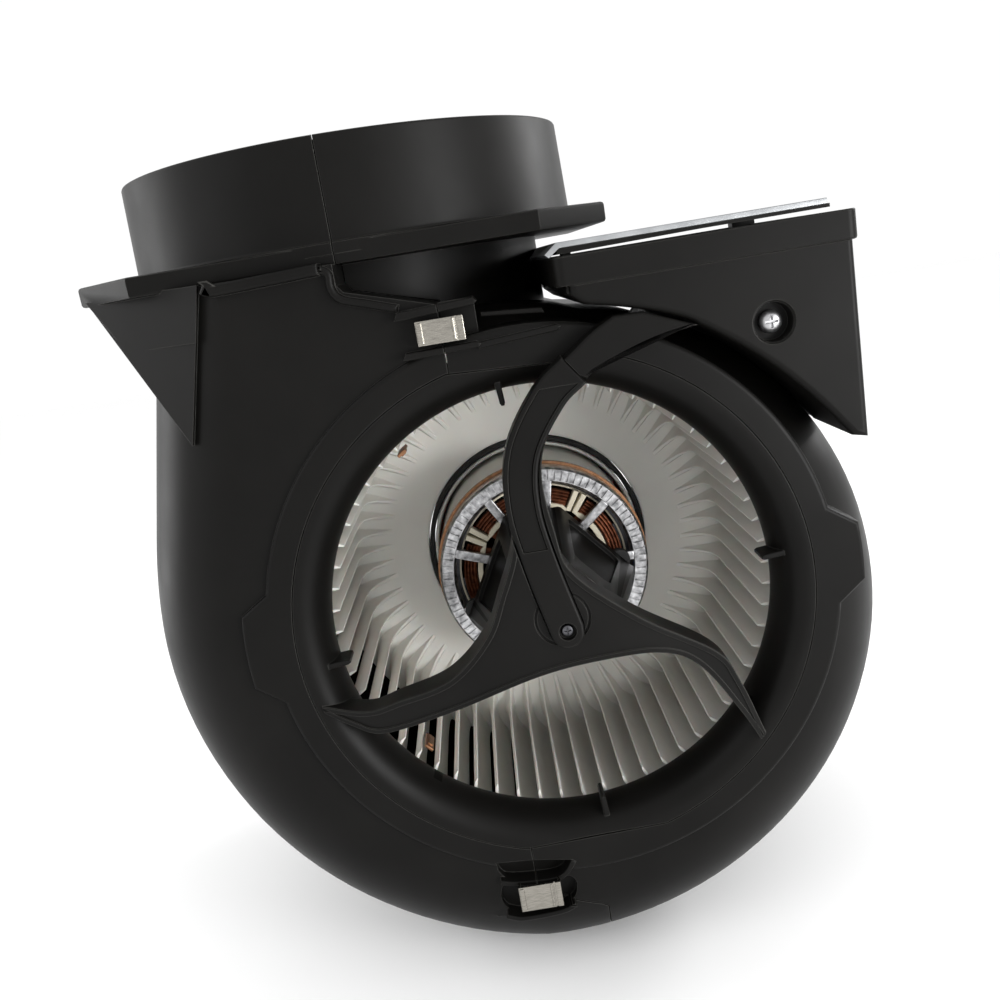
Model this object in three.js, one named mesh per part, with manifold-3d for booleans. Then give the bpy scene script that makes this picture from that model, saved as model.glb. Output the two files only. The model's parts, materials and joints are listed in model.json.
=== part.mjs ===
// Double-inlet centrifugal blower of a kitchen extractor hood.
// Millimetres, +Z up. The outlet collar's axis is Z, the fan turns about an axis along Y,
// the motor bracket faces -Y. The origin is the collar's axis at the flange's top face.
import * as THREE from 'three';
import { mergeVertices } from 'three/addons/utils/BufferGeometryUtils.js';
import Module from 'manifold-3d';

const wasm = await Module();
wasm.setup();

// ---- Driving dimensions -------------------------------------------------------------------
const GAP = 0.3; // between pieces that touch
const WALL = 2.5; // moulded casing wall
const FAN_X = 46; // fan axis, measured from the collar's axis
const FAN_Z = -116;
const CASING_HALF_DEPTH = 83.4;
const SHOULDER = 33; // rounding between the casing's faces and its scroll wall
const PLATFORM_HEIGHT = 2; // raised band around each inlet
const PLATFORM_RADIUS = 86;
const FACE_Y = CASING_HALF_DEPTH + PLATFORM_HEIGHT;

const SPIRAL_RADIUS_AT_SIDE = 104.6; // scroll wall beside the fan
const SPIRAL_GROWTH = 0.217; // millimetres for each degree
const SPIRAL_MAX_RADIUS = 126;
const TONGUE_ANGLE = 75; // degrees from +X towards +Z
const ROOF_ANGLE = 105; // the right shell's roof falls to the widest radius from here
const SPIRAL_STEP = 7.5; // degrees between the outline's points

const FLANGE_HALF_X = 80.5;
const FLANGE_HALF_Y = 75.7;
const FLANGE_CHAMFER = 21.5;
const FLANGE_THICKNESS = 6;
const COLLAR_RADIUS = 75; // 150 mm duct
const COLLAR_RIM_RADIUS = 74.1;
const COLLAR_HEIGHT = 29.6;
const NECK_RADIUS = 62; // round outlet neck under the flange

const SPLIT_X = -19.4; // parting plane of the two shells, from the fan axis
const JOG_LOW_Z = 94.8; // the parting line steps across to the collar's axis here
const JOG_HIGH_Z = 101.3;

const SEAM_RADIUS = 77.9; // edge of the removable inlet rings
const LIP_RADIUS = 67.85;
const LIP_Y = 72.8;
const FLAT_TOP = [70, 104]; // the ring's edge is straight between these angles
const FLAT_BOTTOM = [-104, -73];

const HUB_Y = -98.9; // front face of the motor bracket's hub
const DUCT_Y = -101.4; // front face of the cable duct at the hub
const DUCT_SLOPE = 8 / 75; // the duct leans back as it climbs
const DUCT_DEPTH = 6.5;

const BLADES = 60;
const WHEEL_INNER_RADIUS = 66.3;
const WHEEL_OUTER_RADIUS = 79.5;
const WHEEL_HALF_LENGTH = 70;
const WEB_RADIUS = 40.7; // hole in the wheel's disc
const CUP_RADIUS = 38.3; // cup that carries the wheel round the motor
const CUP_WALL = 1.4;
const SHAFT_RADIUS = 4;
const STATOR_RADIUS = 35.6;
const STATOR_FRONT = -33;
const STATOR_BACK = 7;
const FIN_ANGLE = 5;
const POLES = 4;
const POLE_ANGLE = 11; // of the first pole, from +X towards +Z
const TOOTH_WIDTH = 10;
const SPOKES = 9; // of each motor end shield
const SHIELD_FRONT = STATOR_FRONT - 7;
const HOLDER_FRONT = -90;
const HOLDER_BACK = SHIELD_FRONT - 3.3; // back edge of the motor holder
const HOLDER_TOP = 22;
const HOLDER_CORNER_FRONT = 17.5; // how far its rounded corners reach from the axis
const HOLDER_CORNER_BACK = 30;
const HOLDER_SIDES = [ // where each side faces, and its distance from the axis at both ends
  { normal: 41, front: 15.5, back: 20.5 },
  { normal: 152, front: 15.5, back: 19.8 },
  { normal: 277, front: 13, back: 16 },
];

const BOX_FRONT = -92.4;
const BOX_BACK = 7.6;
const BOX_TOP = 102.1; // heights from the fan axis
const BOX_RIM_BOTTOM = 94;
const BOX_WALL = 2.2;
const LID_BOTTOM = 104.3;
const LID_THICKNESS = 1.6;
const BOX_SCREW = [71.2, 75.5];

const RADIANS = Math.PI / 180;

// ---- Solids -------------------------------------------------------------------------------
function toSolid(geometry) {
  geometry.deleteAttribute('normal');
  geometry.deleteAttribute('uv');
  const merged = mergeVertices(geometry, 1e-4);
  return new wasm.Manifold(new wasm.Mesh({
    numProp: 3,
    vertProperties: new Float32Array(merged.attributes.position.array),
    triVerts: new Uint32Array(merged.index.array),
  }));
}

function toGeometry(solid) {
  const mesh = solid.getMesh();
  const geometry = new THREE.BufferGeometry();
  geometry.setAttribute('position', new THREE.BufferAttribute(mesh.vertProperties, 3));
  geometry.setIndex(new THREE.BufferAttribute(mesh.triVerts, 1));
  geometry.computeVertexNormals();
  return geometry;
}

function join(first, ...rest) {
  return rest.reduce((sum, next) => sum.add(next), first);
}

function cut(first, ...rest) {
  return rest.reduce((left, next) => left.subtract(next), first);
}

function atFan(geometry) {
  return geometry.translate(FAN_X, 0, FAN_Z);
}

// A box between two corners, X and Z from the fan axis.
function block([x0, y0, z0], [x1, y1, z1]) {
  const geometry = new THREE.BoxGeometry(x1 - x0, y1 - y0, z1 - z0);
  geometry.translate((x0 + x1) / 2, (y0 + y1) / 2, (z0 + z1) / 2);
  return toSolid(atFan(geometry));
}

// An X-Z outline, from the fan axis, extruded from y0 to y1.
function prism(shape, y0, y1, curveSegments = 8) {
  const geometry = new THREE.ExtrudeGeometry(shape, {
    depth: y1 - y0, bevelEnabled: false, curveSegments,
  });
  geometry.rotateX(Math.PI / 2);
  geometry.translate(0, y1, 0);
  return toSolid(atFan(geometry));
}

// An X-Y outline about the collar's axis, extruded from z0 to z1.
function plate(shape, z0, z1) {
  const geometry = new THREE.ExtrudeGeometry(shape, { depth: z1 - z0, bevelEnabled: false });
  geometry.translate(0, 0, z0);
  return toSolid(geometry);
}

// A disc or bar along Y; x and z from the fan axis.
function drum(radius, y0, y1, x = 0, z = 0, segments = 24) {
  const geometry = new THREE.CylinderGeometry(radius, radius, y1 - y0, segments);
  geometry.translate(x, (y0 + y1) / 2, z);
  return toSolid(atFan(geometry));
}

// A [radius, y] profile, counter-clockwise, turned about the fan axis.
function turned(profile, segments = 36, closed = true) {
  const points = profile.map(([radius, y]) => new THREE.Vector2(radius, y));
  if (closed) points.push(points[0].clone());
  return toSolid(atFan(new THREE.LatheGeometry(points, segments)));
}

function washer(inner, outer, y0, y1, segments = 32) {
  return turned([[inner, y0], [outer, y0], [outer, y1], [inner, y1]], segments);
}

// A [radius, z] profile turned about the collar's axis.
function turnedUpright(profile, closed = true, segments = 48) {
  const points = profile.map(([radius, z]) => new THREE.Vector2(radius, z));
  if (closed) points.push(points[0].clone());
  const geometry = new THREE.LatheGeometry(points, segments);
  geometry.rotateX(Math.PI / 2);
  return toSolid(geometry);
}

function polygon(points) {
  return new THREE.Shape(points.map(([x, z]) => new THREE.Vector2(x, z)));
}

function polar(radius, degrees) {
  return [radius * Math.cos(degrees * RADIANS), radius * Math.sin(degrees * RADIANS)];
}

// A bar that points away from the fan's axis, turned by degrees from +X towards +Z.
function radialBlock(r0, r1, width, y0, y1, degrees) {
  const geometry = new THREE.BoxGeometry(r1 - r0, y1 - y0, width);
  geometry.translate((r0 + r1) / 2, (y0 + y1) / 2, 0);
  geometry.rotateY(-degrees * RADIANS);
  return toSolid(atFan(geometry));
}

function smooth(points, divisions) {
  const curve = new THREE.SplineCurve(points.map(([x, z]) => new THREE.Vector2(x, z)));
  return curve.getPoints(divisions).map((point) => [point.x, point.y]);
}

function mirroredInY(solid) {
  const geometry = toGeometry(solid);
  geometry.scale(1, -1, 1);
  const index = geometry.index.array;
  for (let i = 0; i < index.length; i += 3) [index[i], index[i + 1]] = [index[i + 1], index[i]];
  return toSolid(geometry);
}

// ---- Casing -------------------------------------------------------------------------------
function spiralRadius(degrees) {
  if (degrees > TONGUE_ANGLE) {
    const tongueRadius = SPIRAL_RADIUS_AT_SIDE - SPIRAL_GROWTH * TONGUE_ANGLE;
    const top = tongueRadius + 0.2 * (Math.min(degrees, ROOF_ANGLE) - TONGUE_ANGLE);
    const turn = Math.max(degrees - ROOF_ANGLE, 0) / (180 - ROOF_ANGLE);
    return top + (SPIRAL_MAX_RADIUS - top) * turn;
  }
  return Math.min(SPIRAL_RADIUS_AT_SIDE - SPIRAL_GROWTH * degrees, SPIRAL_MAX_RADIUS);
}

function spiralPoints(fromDegrees, toDegrees) {
  const points = [];
  for (let angle = fromDegrees; angle >= toDegrees; angle -= SPIRAL_STEP) {
    points.push(polar(spiralRadius(angle), angle));
  }
  return points;
}

// The left shell's outline carries on up past the flange, where it is trimmed.
function leftOutline() {
  const shape = polygon([[60, 160], ...spiralPoints(TONGUE_ANGLE, -180)]);
  shape.quadraticCurveTo(-SPIRAL_MAX_RADIUS, 16, -121, 37);
  shape.lineTo(-91.5, 160);
  shape.closePath();
  return shape;
}

function rightOutline() {
  return polygon(spiralPoints(180, -172.5));
}

// A casing body with rounded shoulders, moved outwards by grow.
function casingBody(shape, grow = 0) {
  const round = SHOULDER + grow;
  const straight = 2 * (CASING_HALF_DEPTH - SHOULDER);
  const geometry = new THREE.ExtrudeGeometry(shape, {
    depth: straight,
    curveSegments: 4,
    bevelSize: round,
    bevelThickness: round,
    bevelOffset: -SHOULDER,
    bevelSegments: 5,
  });
  geometry.rotateX(Math.PI / 2);
  geometry.translate(0, straight / 2, 0);
  return toSolid(atFan(geometry));
}

function neck(radius, bottom, top) {
  return turnedUpright([[0, bottom], [radius, bottom], [radius, top], [0, top]], false);
}

function flangeOutline() {
  const x = FLANGE_HALF_X;
  const y = FLANGE_HALF_Y;
  const c = FLANGE_CHAMFER;
  return polygon([
    [x, c - y], [x, y - c], [x - c, y], [c - x, y],
    [-x, y - c], [-x, c - y], [c - x, -y], [x - c, -y],
  ]);
}

function collar() {
  const base = -FLANGE_THICKNESS / 2;
  return turnedUpright([
    [COLLAR_RADIUS - WALL, base], [COLLAR_RADIUS, base],
    [COLLAR_RIM_RADIUS, COLLAR_HEIGHT], [COLLAR_RIM_RADIUS - WALL, COLLAR_HEIGHT],
  ]);
}

function ringEdge(radius) {
  const points = [];
  const onFlat = (angle, [from, to]) => angle > from && angle < to;
  for (let angle = -180; angle < 180; angle += 6) {
    if (!onFlat(angle, FLAT_TOP) && !onFlat(angle, FLAT_BOTTOM)) points.push(polar(radius, angle));
  }
  return polygon(points);
}

// The raised band around the front inlet: a skin, an outer wall and two lobes.
function platform() {
  const inner = PLATFORM_RADIUS - WALL;
  const skin = FACE_Y - WALL;
  const band = turned([
    [60, -FACE_Y], [PLATFORM_RADIUS, -FACE_Y], [PLATFORM_RADIUS, -62], [inner, -62],
    [inner, -skin], [60, -skin],
  ]);
  const lobe = (from, to) => prism(
    polygon([polar(84.5, from - 6), polar(93, from), polar(93.5, to), polar(84.5, to + 6)]),
    -FACE_Y, -CASING_HALF_DEPTH + 8,
  );
  return join(band, lobe(172, 184), lobe(-2, 7));
}

function clipLugs() {
  const upper = block([-30.3, -FACE_Y - 2.5, 93.6], [-9, -68, 95.2]);
  const lower = block([-30.3, -FACE_Y - 2.5, 81.6], [-10.6, -80, 83.1]);
  const web = block([-26, -80, 82], [-9, -77.5, 95.2]);
  return join(upper, lower, web);
}

// Slanted web from the flange's corner to the casing's front face.
function gusset() {
  const corners = [[-123.9, -58, 111.4], [-83.6, -83, 111.2], [-95.2, -82.6, 66.7]];
  const points = corners.flatMap(([x, y, z]) => [[x, y, z], [x, y + 3, z]]);
  return wasm.Manifold.hull(points.map(([x, y, z]) => [x + FAN_X, y, z + FAN_Z]));
}

function bothFaces(solid) {
  return join(solid, mirroredInY(solid));
}

// Everything on the left shell's side of the parting line.
function leftSide(shift) {
  const line = [
    [3.4, -160], [3.4, -103], [SPLIT_X, -97], [SPLIT_X, JOG_LOW_Z],
    [-FAN_X, JOG_HIGH_Z], [-FAN_X, 200], [-300, 200], [-300, -160],
  ];
  return prism(polygon(line.map(([x, z]) => [x + shift, z + shift])), -150, 150);
}

// Space below the flange; it ends at the underside where the casing stands out past the flange.
function belowFlange(wall) {
  const underside = -FAN_Z - FLANGE_THICKNESS;
  const depth = FLANGE_HALF_Y - 0.5 - wall;
  return join(
    block([-300, -150, -200], [300, 150, underside + 0.2 - wall]),
    block([-300, -depth, -200], [300, depth, underside + FLANGE_THICKNESS / 2]),
  );
}

function inletHoles() {
  const hole = prism(ringEdge(SEAM_RADIUS + GAP), -150, -CASING_HALF_DEPTH + SHOULDER);
  return bothFaces(hole);
}

function wheelRoom() {
  const depth = FACE_Y - WALL;
  return drum(PLATFORM_RADIUS - WALL, -depth, depth, 0, 0, 40);
}

function casingLeft() {
  const body = casingBody(leftOutline()).intersect(belowFlange(0));
  const flange = plate(flangeOutline(), -FLANGE_THICKNESS, 0);
  const topInside = neck(COLLAR_RADIUS - WALL, 0, COLLAR_HEIGHT + 1);
  const inside = casingBody(leftOutline(), -WALL);
  const jogWall = prism(polygon([
    [SPLIT_X - 3, JOG_LOW_Z - WALL], [-FAN_X - WALL, JOG_HIGH_Z - WALL],
    [-FAN_X - WALL, 130], [50, 130], [50, JOG_LOW_Z - WALL],
  ]), -150, 150);
  const duct = neck(COLLAR_RADIUS - WALL, -60, COLLAR_HEIGHT + 1);
  const roomBelow = cut(inside, jogWall).intersect(join(belowFlange(WALL), duct));
  const roundNeck = neck(NECK_RADIUS - WALL, -40, 1);
  const solid = join(body, flange, collar(), bothFaces(gusset()));
  const shell = cut(solid, roomBelow, roundNeck, topInside);
  const opened = cut(join(cut(shell, wheelRoom()), bothFaces(platform())), inletHoles());
  return join(opened, bothFaces(clipLugs())).intersect(leftSide(0));
}

function casingRight() {
  const tube = neck(NECK_RADIUS, -45, -FLANGE_THICKNESS / 2);
  const body = join(casingBody(rightOutline()), tube);
  const flange = plate(flangeOutline(), -FLANGE_THICKNESS, 0);
  const inside = casingBody(rightOutline(), -WALL);
  const topInside = neck(COLLAR_RADIUS - WALL, 0, COLLAR_HEIGHT + 1);
  const roundNeck = neck(NECK_RADIUS - WALL, -60, 1);
  const shell = cut(join(body, flange, collar()), inside, roundNeck, topInside);
  const opened = cut(join(cut(shell, wheelRoom()), bothFaces(platform())), inletHoles());
  return cut(join(opened, bothFaces(clipLugs())), leftSide(GAP));
}

// ---- Inlet rings and motor bracket ----------------------------------------------------------
function inletRing() {
  const mouth = turned([
    [LIP_RADIUS + 2, -LIP_Y + 2], [LIP_RADIUS, -LIP_Y], [LIP_RADIUS + 1.6, -79], [72, -83],
    [75.5, -FACE_Y], [80, -FACE_Y], [80, -80.5], [75, -80],
  ], 40);
  const bead = washer(76, 80.5, -FACE_Y + WALL + 0.5, -80, 40);
  return join(mouth.intersect(prism(ringEdge(SEAM_RADIUS), -100, -60)), bead);
}

// One of the four small guide fins that stand in the bracket's mouth.
function throatFin(index) {
  return radialBlock(64, 71, 1.6, -82, -74, FIN_ANGLE + index * 90);
}

// Front outline of the three curved arms and the hub, as four smooth edges.
function spiderOutline() {
  const lower = smooth([[-76, -17.6], [-66, -23.6], [-56.3, -26.6], [-35.4, -21.1], [-10.6, -13.4],
    [10, -11], [27.6, -12.2], [39.1, -19.6], [50.4, -38.5], [57, -52]], 20);
  const right = smooth([[58.5, -50], [51.1, -28.2], [44.2, -16], [23.1, -0.2], [6.6, 15.4],
    [3, 27], [3, 50], [20, 74]], 16);
  const left = smooth([[11, 75], [-6.3, 53], [-9, 28], [-15.5, 12], [-21.5, 0.7], [-33.6, -10.6],
    [-49.5, -16], [-61, -19], [-76, -16.4]], 18);
  return polygon([...lower, ...right, ...left]);
}

function spider() {
  const dome = turned([
    [0, HUB_Y], [20, HUB_Y], [40, HUB_Y + 3.2], [60, HUB_Y + 8.4], [76, -FACE_Y],
    [76, -76], [60, -82], [20, -88], [0, -88],
  ], 36, false);
  const insideRing = prism(ringEdge(SEAM_RADIUS - 1), -110, -60);
  return prism(spiderOutline(), -110, -60).intersect(dome).intersect(insideRing);
}

// Distance from the fan's axis to the motor holder's wall, towards an angle.
function holderRadius(degrees, share, inset) {
  const corner = HOLDER_CORNER_FRONT + (HOLDER_CORNER_BACK - HOLDER_CORNER_FRONT) * share;
  const reaches = HOLDER_SIDES.map(({ normal, front, back }) => {
    const cosine = Math.cos((degrees - normal) * RADIANS);
    return cosine > 0.1 ? (front + (back - front) * share - inset) / cosine : Infinity;
  });
  return Math.min(corner - inset, ...reaches);
}

// Three-sided funnel from the hub back to the motor, its corners rounded and its top cut flat.
function motorHolder(inset, front, back) {
  const points = [front, back].flatMap((y) => {
    const share = (y - HOLDER_FRONT) / (HOLDER_BACK - HOLDER_FRONT);
    const angles = Array.from({ length: 45 }, (_, i) => i * 8);
    return angles.map((degrees) => {
      const [x, z] = polar(holderRadius(degrees, share, inset), degrees);
      return [x + FAN_X, y, Math.min(z, HOLDER_TOP - inset) + FAN_Z];
    });
  });
  return wasm.Manifold.hull(points);
}

function ductPath() {
  return new THREE.SplineCurve([[2, 0], [-2.2, 18.5], [-4.8, 36], [-2.4, 51.7], [7, 65.4],
    [15.1, 71.7]].map(([x, z]) => new THREE.Vector2(x, z)));
}

function ductOutline(grow) {
  const path = ductPath();
  const left = [];
  const right = [];
  const steps = 14;
  for (let i = 0; i <= steps; i += 1) {
    const along = i / steps;
    const centre = path.getPoint(along);
    const tangent = path.getTangent(along);
    const half = 4.8 + 2 * Math.max(0, 1 - along * 3) + grow;
    left.push([centre.x - tangent.y * half, centre.y + tangent.x * half]);
    right.push([centre.x + tangent.y * half, centre.y - tangent.x * half]);
  }
  const boss = [];
  const radius = 6.8 + grow;
  for (let angle = 200; angle <= 340; angle += 28) {
    const [x, z] = polar(radius, angle);
    boss.push([2 + x, z]);
  }
  return polygon([...left.reverse(), ...boss, ...right]);
}

// Leans a piece back with the duct's slope.
function leaned(shape, y0, y1) {
  const geometry = new THREE.ExtrudeGeometry(shape, { depth: y1 - y0, bevelEnabled: false });
  geometry.rotateX(Math.PI / 2);
  geometry.translate(0, y1, 0);
  geometry.applyMatrix4(new THREE.Matrix4().makeShear(0, 0, 0, 0, 0, DUCT_SLOPE));
  return toSolid(atFan(geometry));
}

function cableDuct() {
  const body = leaned(ductOutline(0), DUCT_Y, DUCT_Y + DUCT_DEPTH);
  const channel = leaned(ductOutline(-1.8), DUCT_Y - 1, DUCT_Y + DUCT_DEPTH - 1.3);
  const opening = channel.intersect(block([-60, -130, 8], [60, -60, 68]));
  return cut(body, opening, leadRoute(2.2), bracketScrewHole(1.9, -120, -60));
}

function ductStrip() {
  const strip = leaned(ductOutline(-2.1), DUCT_Y + 0.6, DUCT_Y + 1.7);
  return strip.intersect(block([-60, -130, 8 + GAP], [60, -60, 68 - GAP]));
}

function ductCoverBlank(grow) {
  const outline = polygon([[9.9, 72.9], [16.2, 77.4], [27.8, 84.4], [36, 84.2], [50.4, 78.2],
    [31.1, 74.2], [20.9, 70.6], [18.2, 68.7]]);
  return leaned(outline, DUCT_Y, DUCT_Y + DUCT_DEPTH + grow);
}

function ductCover() {
  const body = ductCoverBlank(0);
  return cut(body, leaned(ductOutline(GAP), DUCT_Y - 5, DUCT_Y + 20), leadRoute(2.2), boxSpace(GAP));
}

// The motor lead's route, inside the duct and up into the box.
function leadRoute(radius) {
  const y = (z) => DUCT_Y + 3.6 + DUCT_SLOPE * z;
  const points = [[-0.8, 11], [-4, 26], [-4.8, 38], [-2.4, 51.7], [7, 65.4], [17, 73], [30, 79.5],
    [38, 88]];
  const path = new THREE.CatmullRomCurve3(points.map(([x, z]) => new THREE.Vector3(x, y(z), z)));
  const section = polygon([0, 1, 2, 3, 4, 5, 6, 7].map((side) => polar(radius, side * 45)));
  return toSolid(atFan(new THREE.ExtrudeGeometry(section, { steps: 18, extrudePath: path })));
}

function bracketScrewHole(radius, y0, y1) {
  return drum(radius, y0, y1, 2, 0, 16);
}

function frontBracket() {
  const holder = cut(
    motorHolder(0, HOLDER_FRONT, HOLDER_BACK),
    motorHolder(2, HOLDER_FRONT + 6, HOLDER_BACK + 1),
  );
  const fins = [0, 1, 2, 3].map(throatFin);
  const whole = join(inletRing(), spider(), holder, ...fins);
  const ductSeat = leaned(ductOutline(GAP), DUCT_Y - 5, DUCT_Y + DUCT_DEPTH + GAP);
  return cut(whole, ductSeat, ductCoverBlank(GAP), bracketScrewHole(1.9, -120, -84));
}

// ---- Fan wheel ------------------------------------------------------------------------------
function bladeOutline(index) {
  const start = (index * 360) / BLADES;
  const sweep = 7;
  const front = [];
  const back = [];
  for (let i = 0; i <= 2; i += 1) {
    const part = i / 2;
    const radius = WHEEL_INNER_RADIUS + (WHEEL_OUTER_RADIUS - 0.6 - WHEEL_INNER_RADIUS) * part;
    const angle = start + sweep * part * part;
    const thickness = (0.55 / radius) / RADIANS;
    front.push(polar(radius, angle + thickness));
    back.push(polar(radius, angle - thickness));
  }
  return polygon([...front, ...back.reverse()]);
}

function wheelHalf() {
  const webThickness = 2.4;
  const web = washer(WEB_RADIUS, WHEEL_OUTER_RADIUS, -GAP / 2 - webThickness, -GAP / 2, 40);
  const endRing = washer(76.5, WHEEL_OUTER_RADIUS, -WHEEL_HALF_LENGTH, -WHEEL_HALF_LENGTH + 3, 40);
  let wheel = join(web, endRing);
  for (let i = 0; i < BLADES; i += 1) {
    wheel = wheel.add(prism(bladeOutline(i), -WHEEL_HALF_LENGTH + 1, -GAP / 2 - 1));
  }
  return wheel;
}

function hubCup() {
  const inner = CUP_RADIUS - CUP_WALL;
  return turned([
    [SHAFT_RADIUS + GAP, 20], [9, 20], [9, 22.5], [inner - 1, 22.5], [inner, 21.5], [inner, -4.5],
    [CUP_RADIUS, -4.5], [CUP_RADIUS, 23], [CUP_RADIUS - 2, 25], [9, 25], [9, 34],
    [SHAFT_RADIUS + GAP, 34],
  ]);
}

function damperRing() {
  return washer(CUP_RADIUS + GAP, WEB_RADIUS - GAP, -5.2, 3);
}

function rotor() {
  return washer(SHAFT_RADIUS + GAP, 13.4, STATOR_FRONT + 1, STATOR_BACK - 1, 24);
}

function balanceClip(degrees, y0) {
  const outside = WHEEL_INNER_RADIUS - 1;
  return radialBlock(outside - 1.1, outside, 3.2, y0, y0 + 9, degrees);
}

// ---- Motor ----------------------------------------------------------------------------------
function poleAngle(index) {
  return POLE_ANGLE + (index * 360) / POLES;
}

function statorCore() {
  let core = washer(28.4, STATOR_RADIUS, STATOR_FRONT, STATOR_BACK);
  for (let i = 0; i < POLES; i += 1) {
    const tooth = radialBlock(15, 29, TOOTH_WIDTH, STATOR_FRONT, STATOR_BACK, poleAngle(i));
    const shoe = radialBlock(14, 16.6, 18, STATOR_FRONT, STATOR_BACK, poleAngle(i));
    core = core.add(tooth).add(shoe);
  }
  return cut(core, drum(13.9, STATOR_FRONT - 1, STATOR_BACK + 1, 0, 0, 24));
}

function coil(index) {
  const width = TOOTH_WIDTH + 2 * GAP;
  const angle = poleAngle(index);
  const outer = radialBlock(17.2, 25.6, 21, STATOR_FRONT - 3.6, STATOR_BACK + 3.6, angle);
  const inner = radialBlock(10, 32, width, STATOR_FRONT - GAP, STATOR_BACK + GAP, angle);
  return cut(outer, inner);
}

function slotInsulator() {
  return washer(28, 29.6, STATOR_FRONT - 4.2, STATOR_FRONT - GAP);
}

// Cast end shield with a bearing seat; side is -1 at the front and 1 at the back.
function endShield(side) {
  const core = side < 0 ? -STATOR_FRONT : STATOR_BACK;
  const near = -(core + GAP);
  let shield = join(
    washer(30.2, STATOR_RADIUS, near - 6.7, near),
    washer(9, 11.4, near - 10.5, near - 4.2, 24),
  );
  for (let i = 0; i < SPOKES; i += 1) {
    shield = shield.add(radialBlock(10.6, 31, 3.2, near - 6.7, near - 4.2, (i * 360) / SPOKES));
  }
  return side < 0 ? shield : mirroredInY(shield);
}

function bearing(side) {
  const core = side < 0 ? -STATOR_FRONT : STATOR_BACK;
  const near = -(core + GAP);
  const ring = washer(SHAFT_RADIUS + GAP, 9 - GAP, near - 10.2, near - 4.4, 24);
  return side < 0 ? ring : mirroredInY(ring);
}

// Rubber pad between the motor holder's wall and a spoke of the front shield.
function mountPad(radius, degrees) {
  return drum(3.6, HOLDER_BACK + GAP, SHIELD_FRONT - GAP, ...polar(radius, degrees), 16);
}

// Rubber bush round the front bearing seat, inside the motor holder.
function mountBush() {
  return washer(11.7, 13.6, -46.5, -41.2, 24);
}

// ---- Terminal box -----------------------------------------------------------------------------
function boxOutline(inset) {
  const shape = new THREE.Shape();
  const top = inset > 0 ? BOX_TOP + 10 : BOX_TOP;
  shape.moveTo(17 + inset, top);
  shape.lineTo(17 + inset, 91.5 + inset);
  shape.lineTo(20.2 + inset, 88.7 + inset);
  const arc = [[35.3, 84.9], [49.7, 79], [66.4, 66.9], [79.5, 54], [90.4, 40.4]];
  shape.splineThru(arc.map(([x, z]) => new THREE.Vector2(x + inset * 0.6, z + inset)));
  shape.lineTo(94.8 - inset, 39.4 + inset * 1.5);
  shape.lineTo(94.8 - inset, top);
  shape.closePath();
  return shape;
}

function boxSpace(grow) {
  const body = prism(boxOutline(0), BOX_FRONT - grow, BOX_BACK + grow, 6);
  return grow > 0 ? join(body, raised(body, -grow)) : body;
}

function raised(solid, dz) {
  const geometry = toGeometry(solid);
  geometry.translate(0, 0, dz);
  return toSolid(geometry);
}

function boxRim() {
  return block([13.3, BOX_FRONT - 0.8, BOX_RIM_BOTTOM], [96.3, BOX_BACK + 0.8, BOX_TOP]);
}

function boxPosts() {
  const top = LID_BOTTOM - GAP;
  const leftPosts = [BOX_FRONT + 1, BOX_BACK - 7].map((y) => block([16.5, y, 92], [19, y + 6, top]));
  return join(...leftPosts, block([86, BOX_BACK - 9, 70], [94, BOX_BACK - 1, top]));
}

function terminalBox() {
  const clearOf = (distance) => join(
    casingBody(rightOutline(), distance),
    neck(NECK_RADIUS + distance, -90, 20),
  );
  const hollow = prism(boxOutline(BOX_WALL), BOX_FRONT + BOX_WALL, BOX_BACK - BOX_WALL, 6);
  const cavity = cut(hollow, clearOf(3));
  const skin = join(boxSpace(0), boxRim());
  const boss = drum(8, BOX_FRONT, BOX_FRONT + 9, ...BOX_SCREW, 24);
  const shell = join(cut(skin, cavity), boss, boxPosts());
  const recess = drum(5.6, BOX_FRONT - 1, BOX_FRONT + 5, ...BOX_SCREW, 24);
  const hole = drum(1.9, BOX_FRONT - 1, BOX_FRONT + 20, ...BOX_SCREW, 16);
  return cut(shell, clearOf(0.6), recess, hole, leadRoute(2.2), boxLidSpace());
}

function lidOutline() {
  const z = LID_BOTTOM;
  const t = LID_THICKNESS;
  return polygon([
    [11.6, z - 1.2], [12.8, z - 2.2], [16, z], [88.6, z], [88.6, z + t], [15.2, z + t],
  ]);
}

function boxLid() {
  const lid = prism(lidOutline(), BOX_FRONT + 0.6, BOX_BACK - 0.6);
  return cut(lid, neck(NECK_RADIUS + 0.6, -90, 20));
}

function boxLidSpace() {
  return block([10, BOX_FRONT - 2, LID_BOTTOM - GAP], [88.9, BOX_BACK + 2, LID_BOTTOM + 10]);
}

function boxScrew() {
  return join(
    drum(3.2, BOX_FRONT + 2.2, BOX_FRONT + 4.7, ...BOX_SCREW, 20),
    drum(1.5, BOX_FRONT + 4, BOX_FRONT + 16, ...BOX_SCREW, 12),
  );
}

function capacitor() {
  return drum(12, -76, -28, 76, 85, 28);
}

function terminalBlock() {
  return block([30, -62, 91.5], [54, -34, 100]);
}

// ---- Clips and screws -------------------------------------------------------------------------
// A bent spring-steel clip across the parting line; side is -1 at the front and 1 at the back.
function springClip(centreX, z0, z1, side) {
  const half = 6.7;
  const y = -FACE_Y - 3.6;
  const front = block([centreX - half, y, z0], [centreX + half, y + 0.8, z1]);
  const leg = (x) => block([x - 0.4, y, z0], [x + 0.4, -FACE_Y - GAP, z1]);
  const clip = join(front, leg(centreX - half + 0.4), leg(centreX + half - 0.4));
  return side < 0 ? clip : mirroredInY(clip);
}

function hubScrew() {
  return join(drum(2.8, DUCT_Y - 1.2, DUCT_Y - 0.4, 2, 0, 16), drum(1.6, DUCT_Y - 0.8, -86, 2, 0, 12));
}

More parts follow.
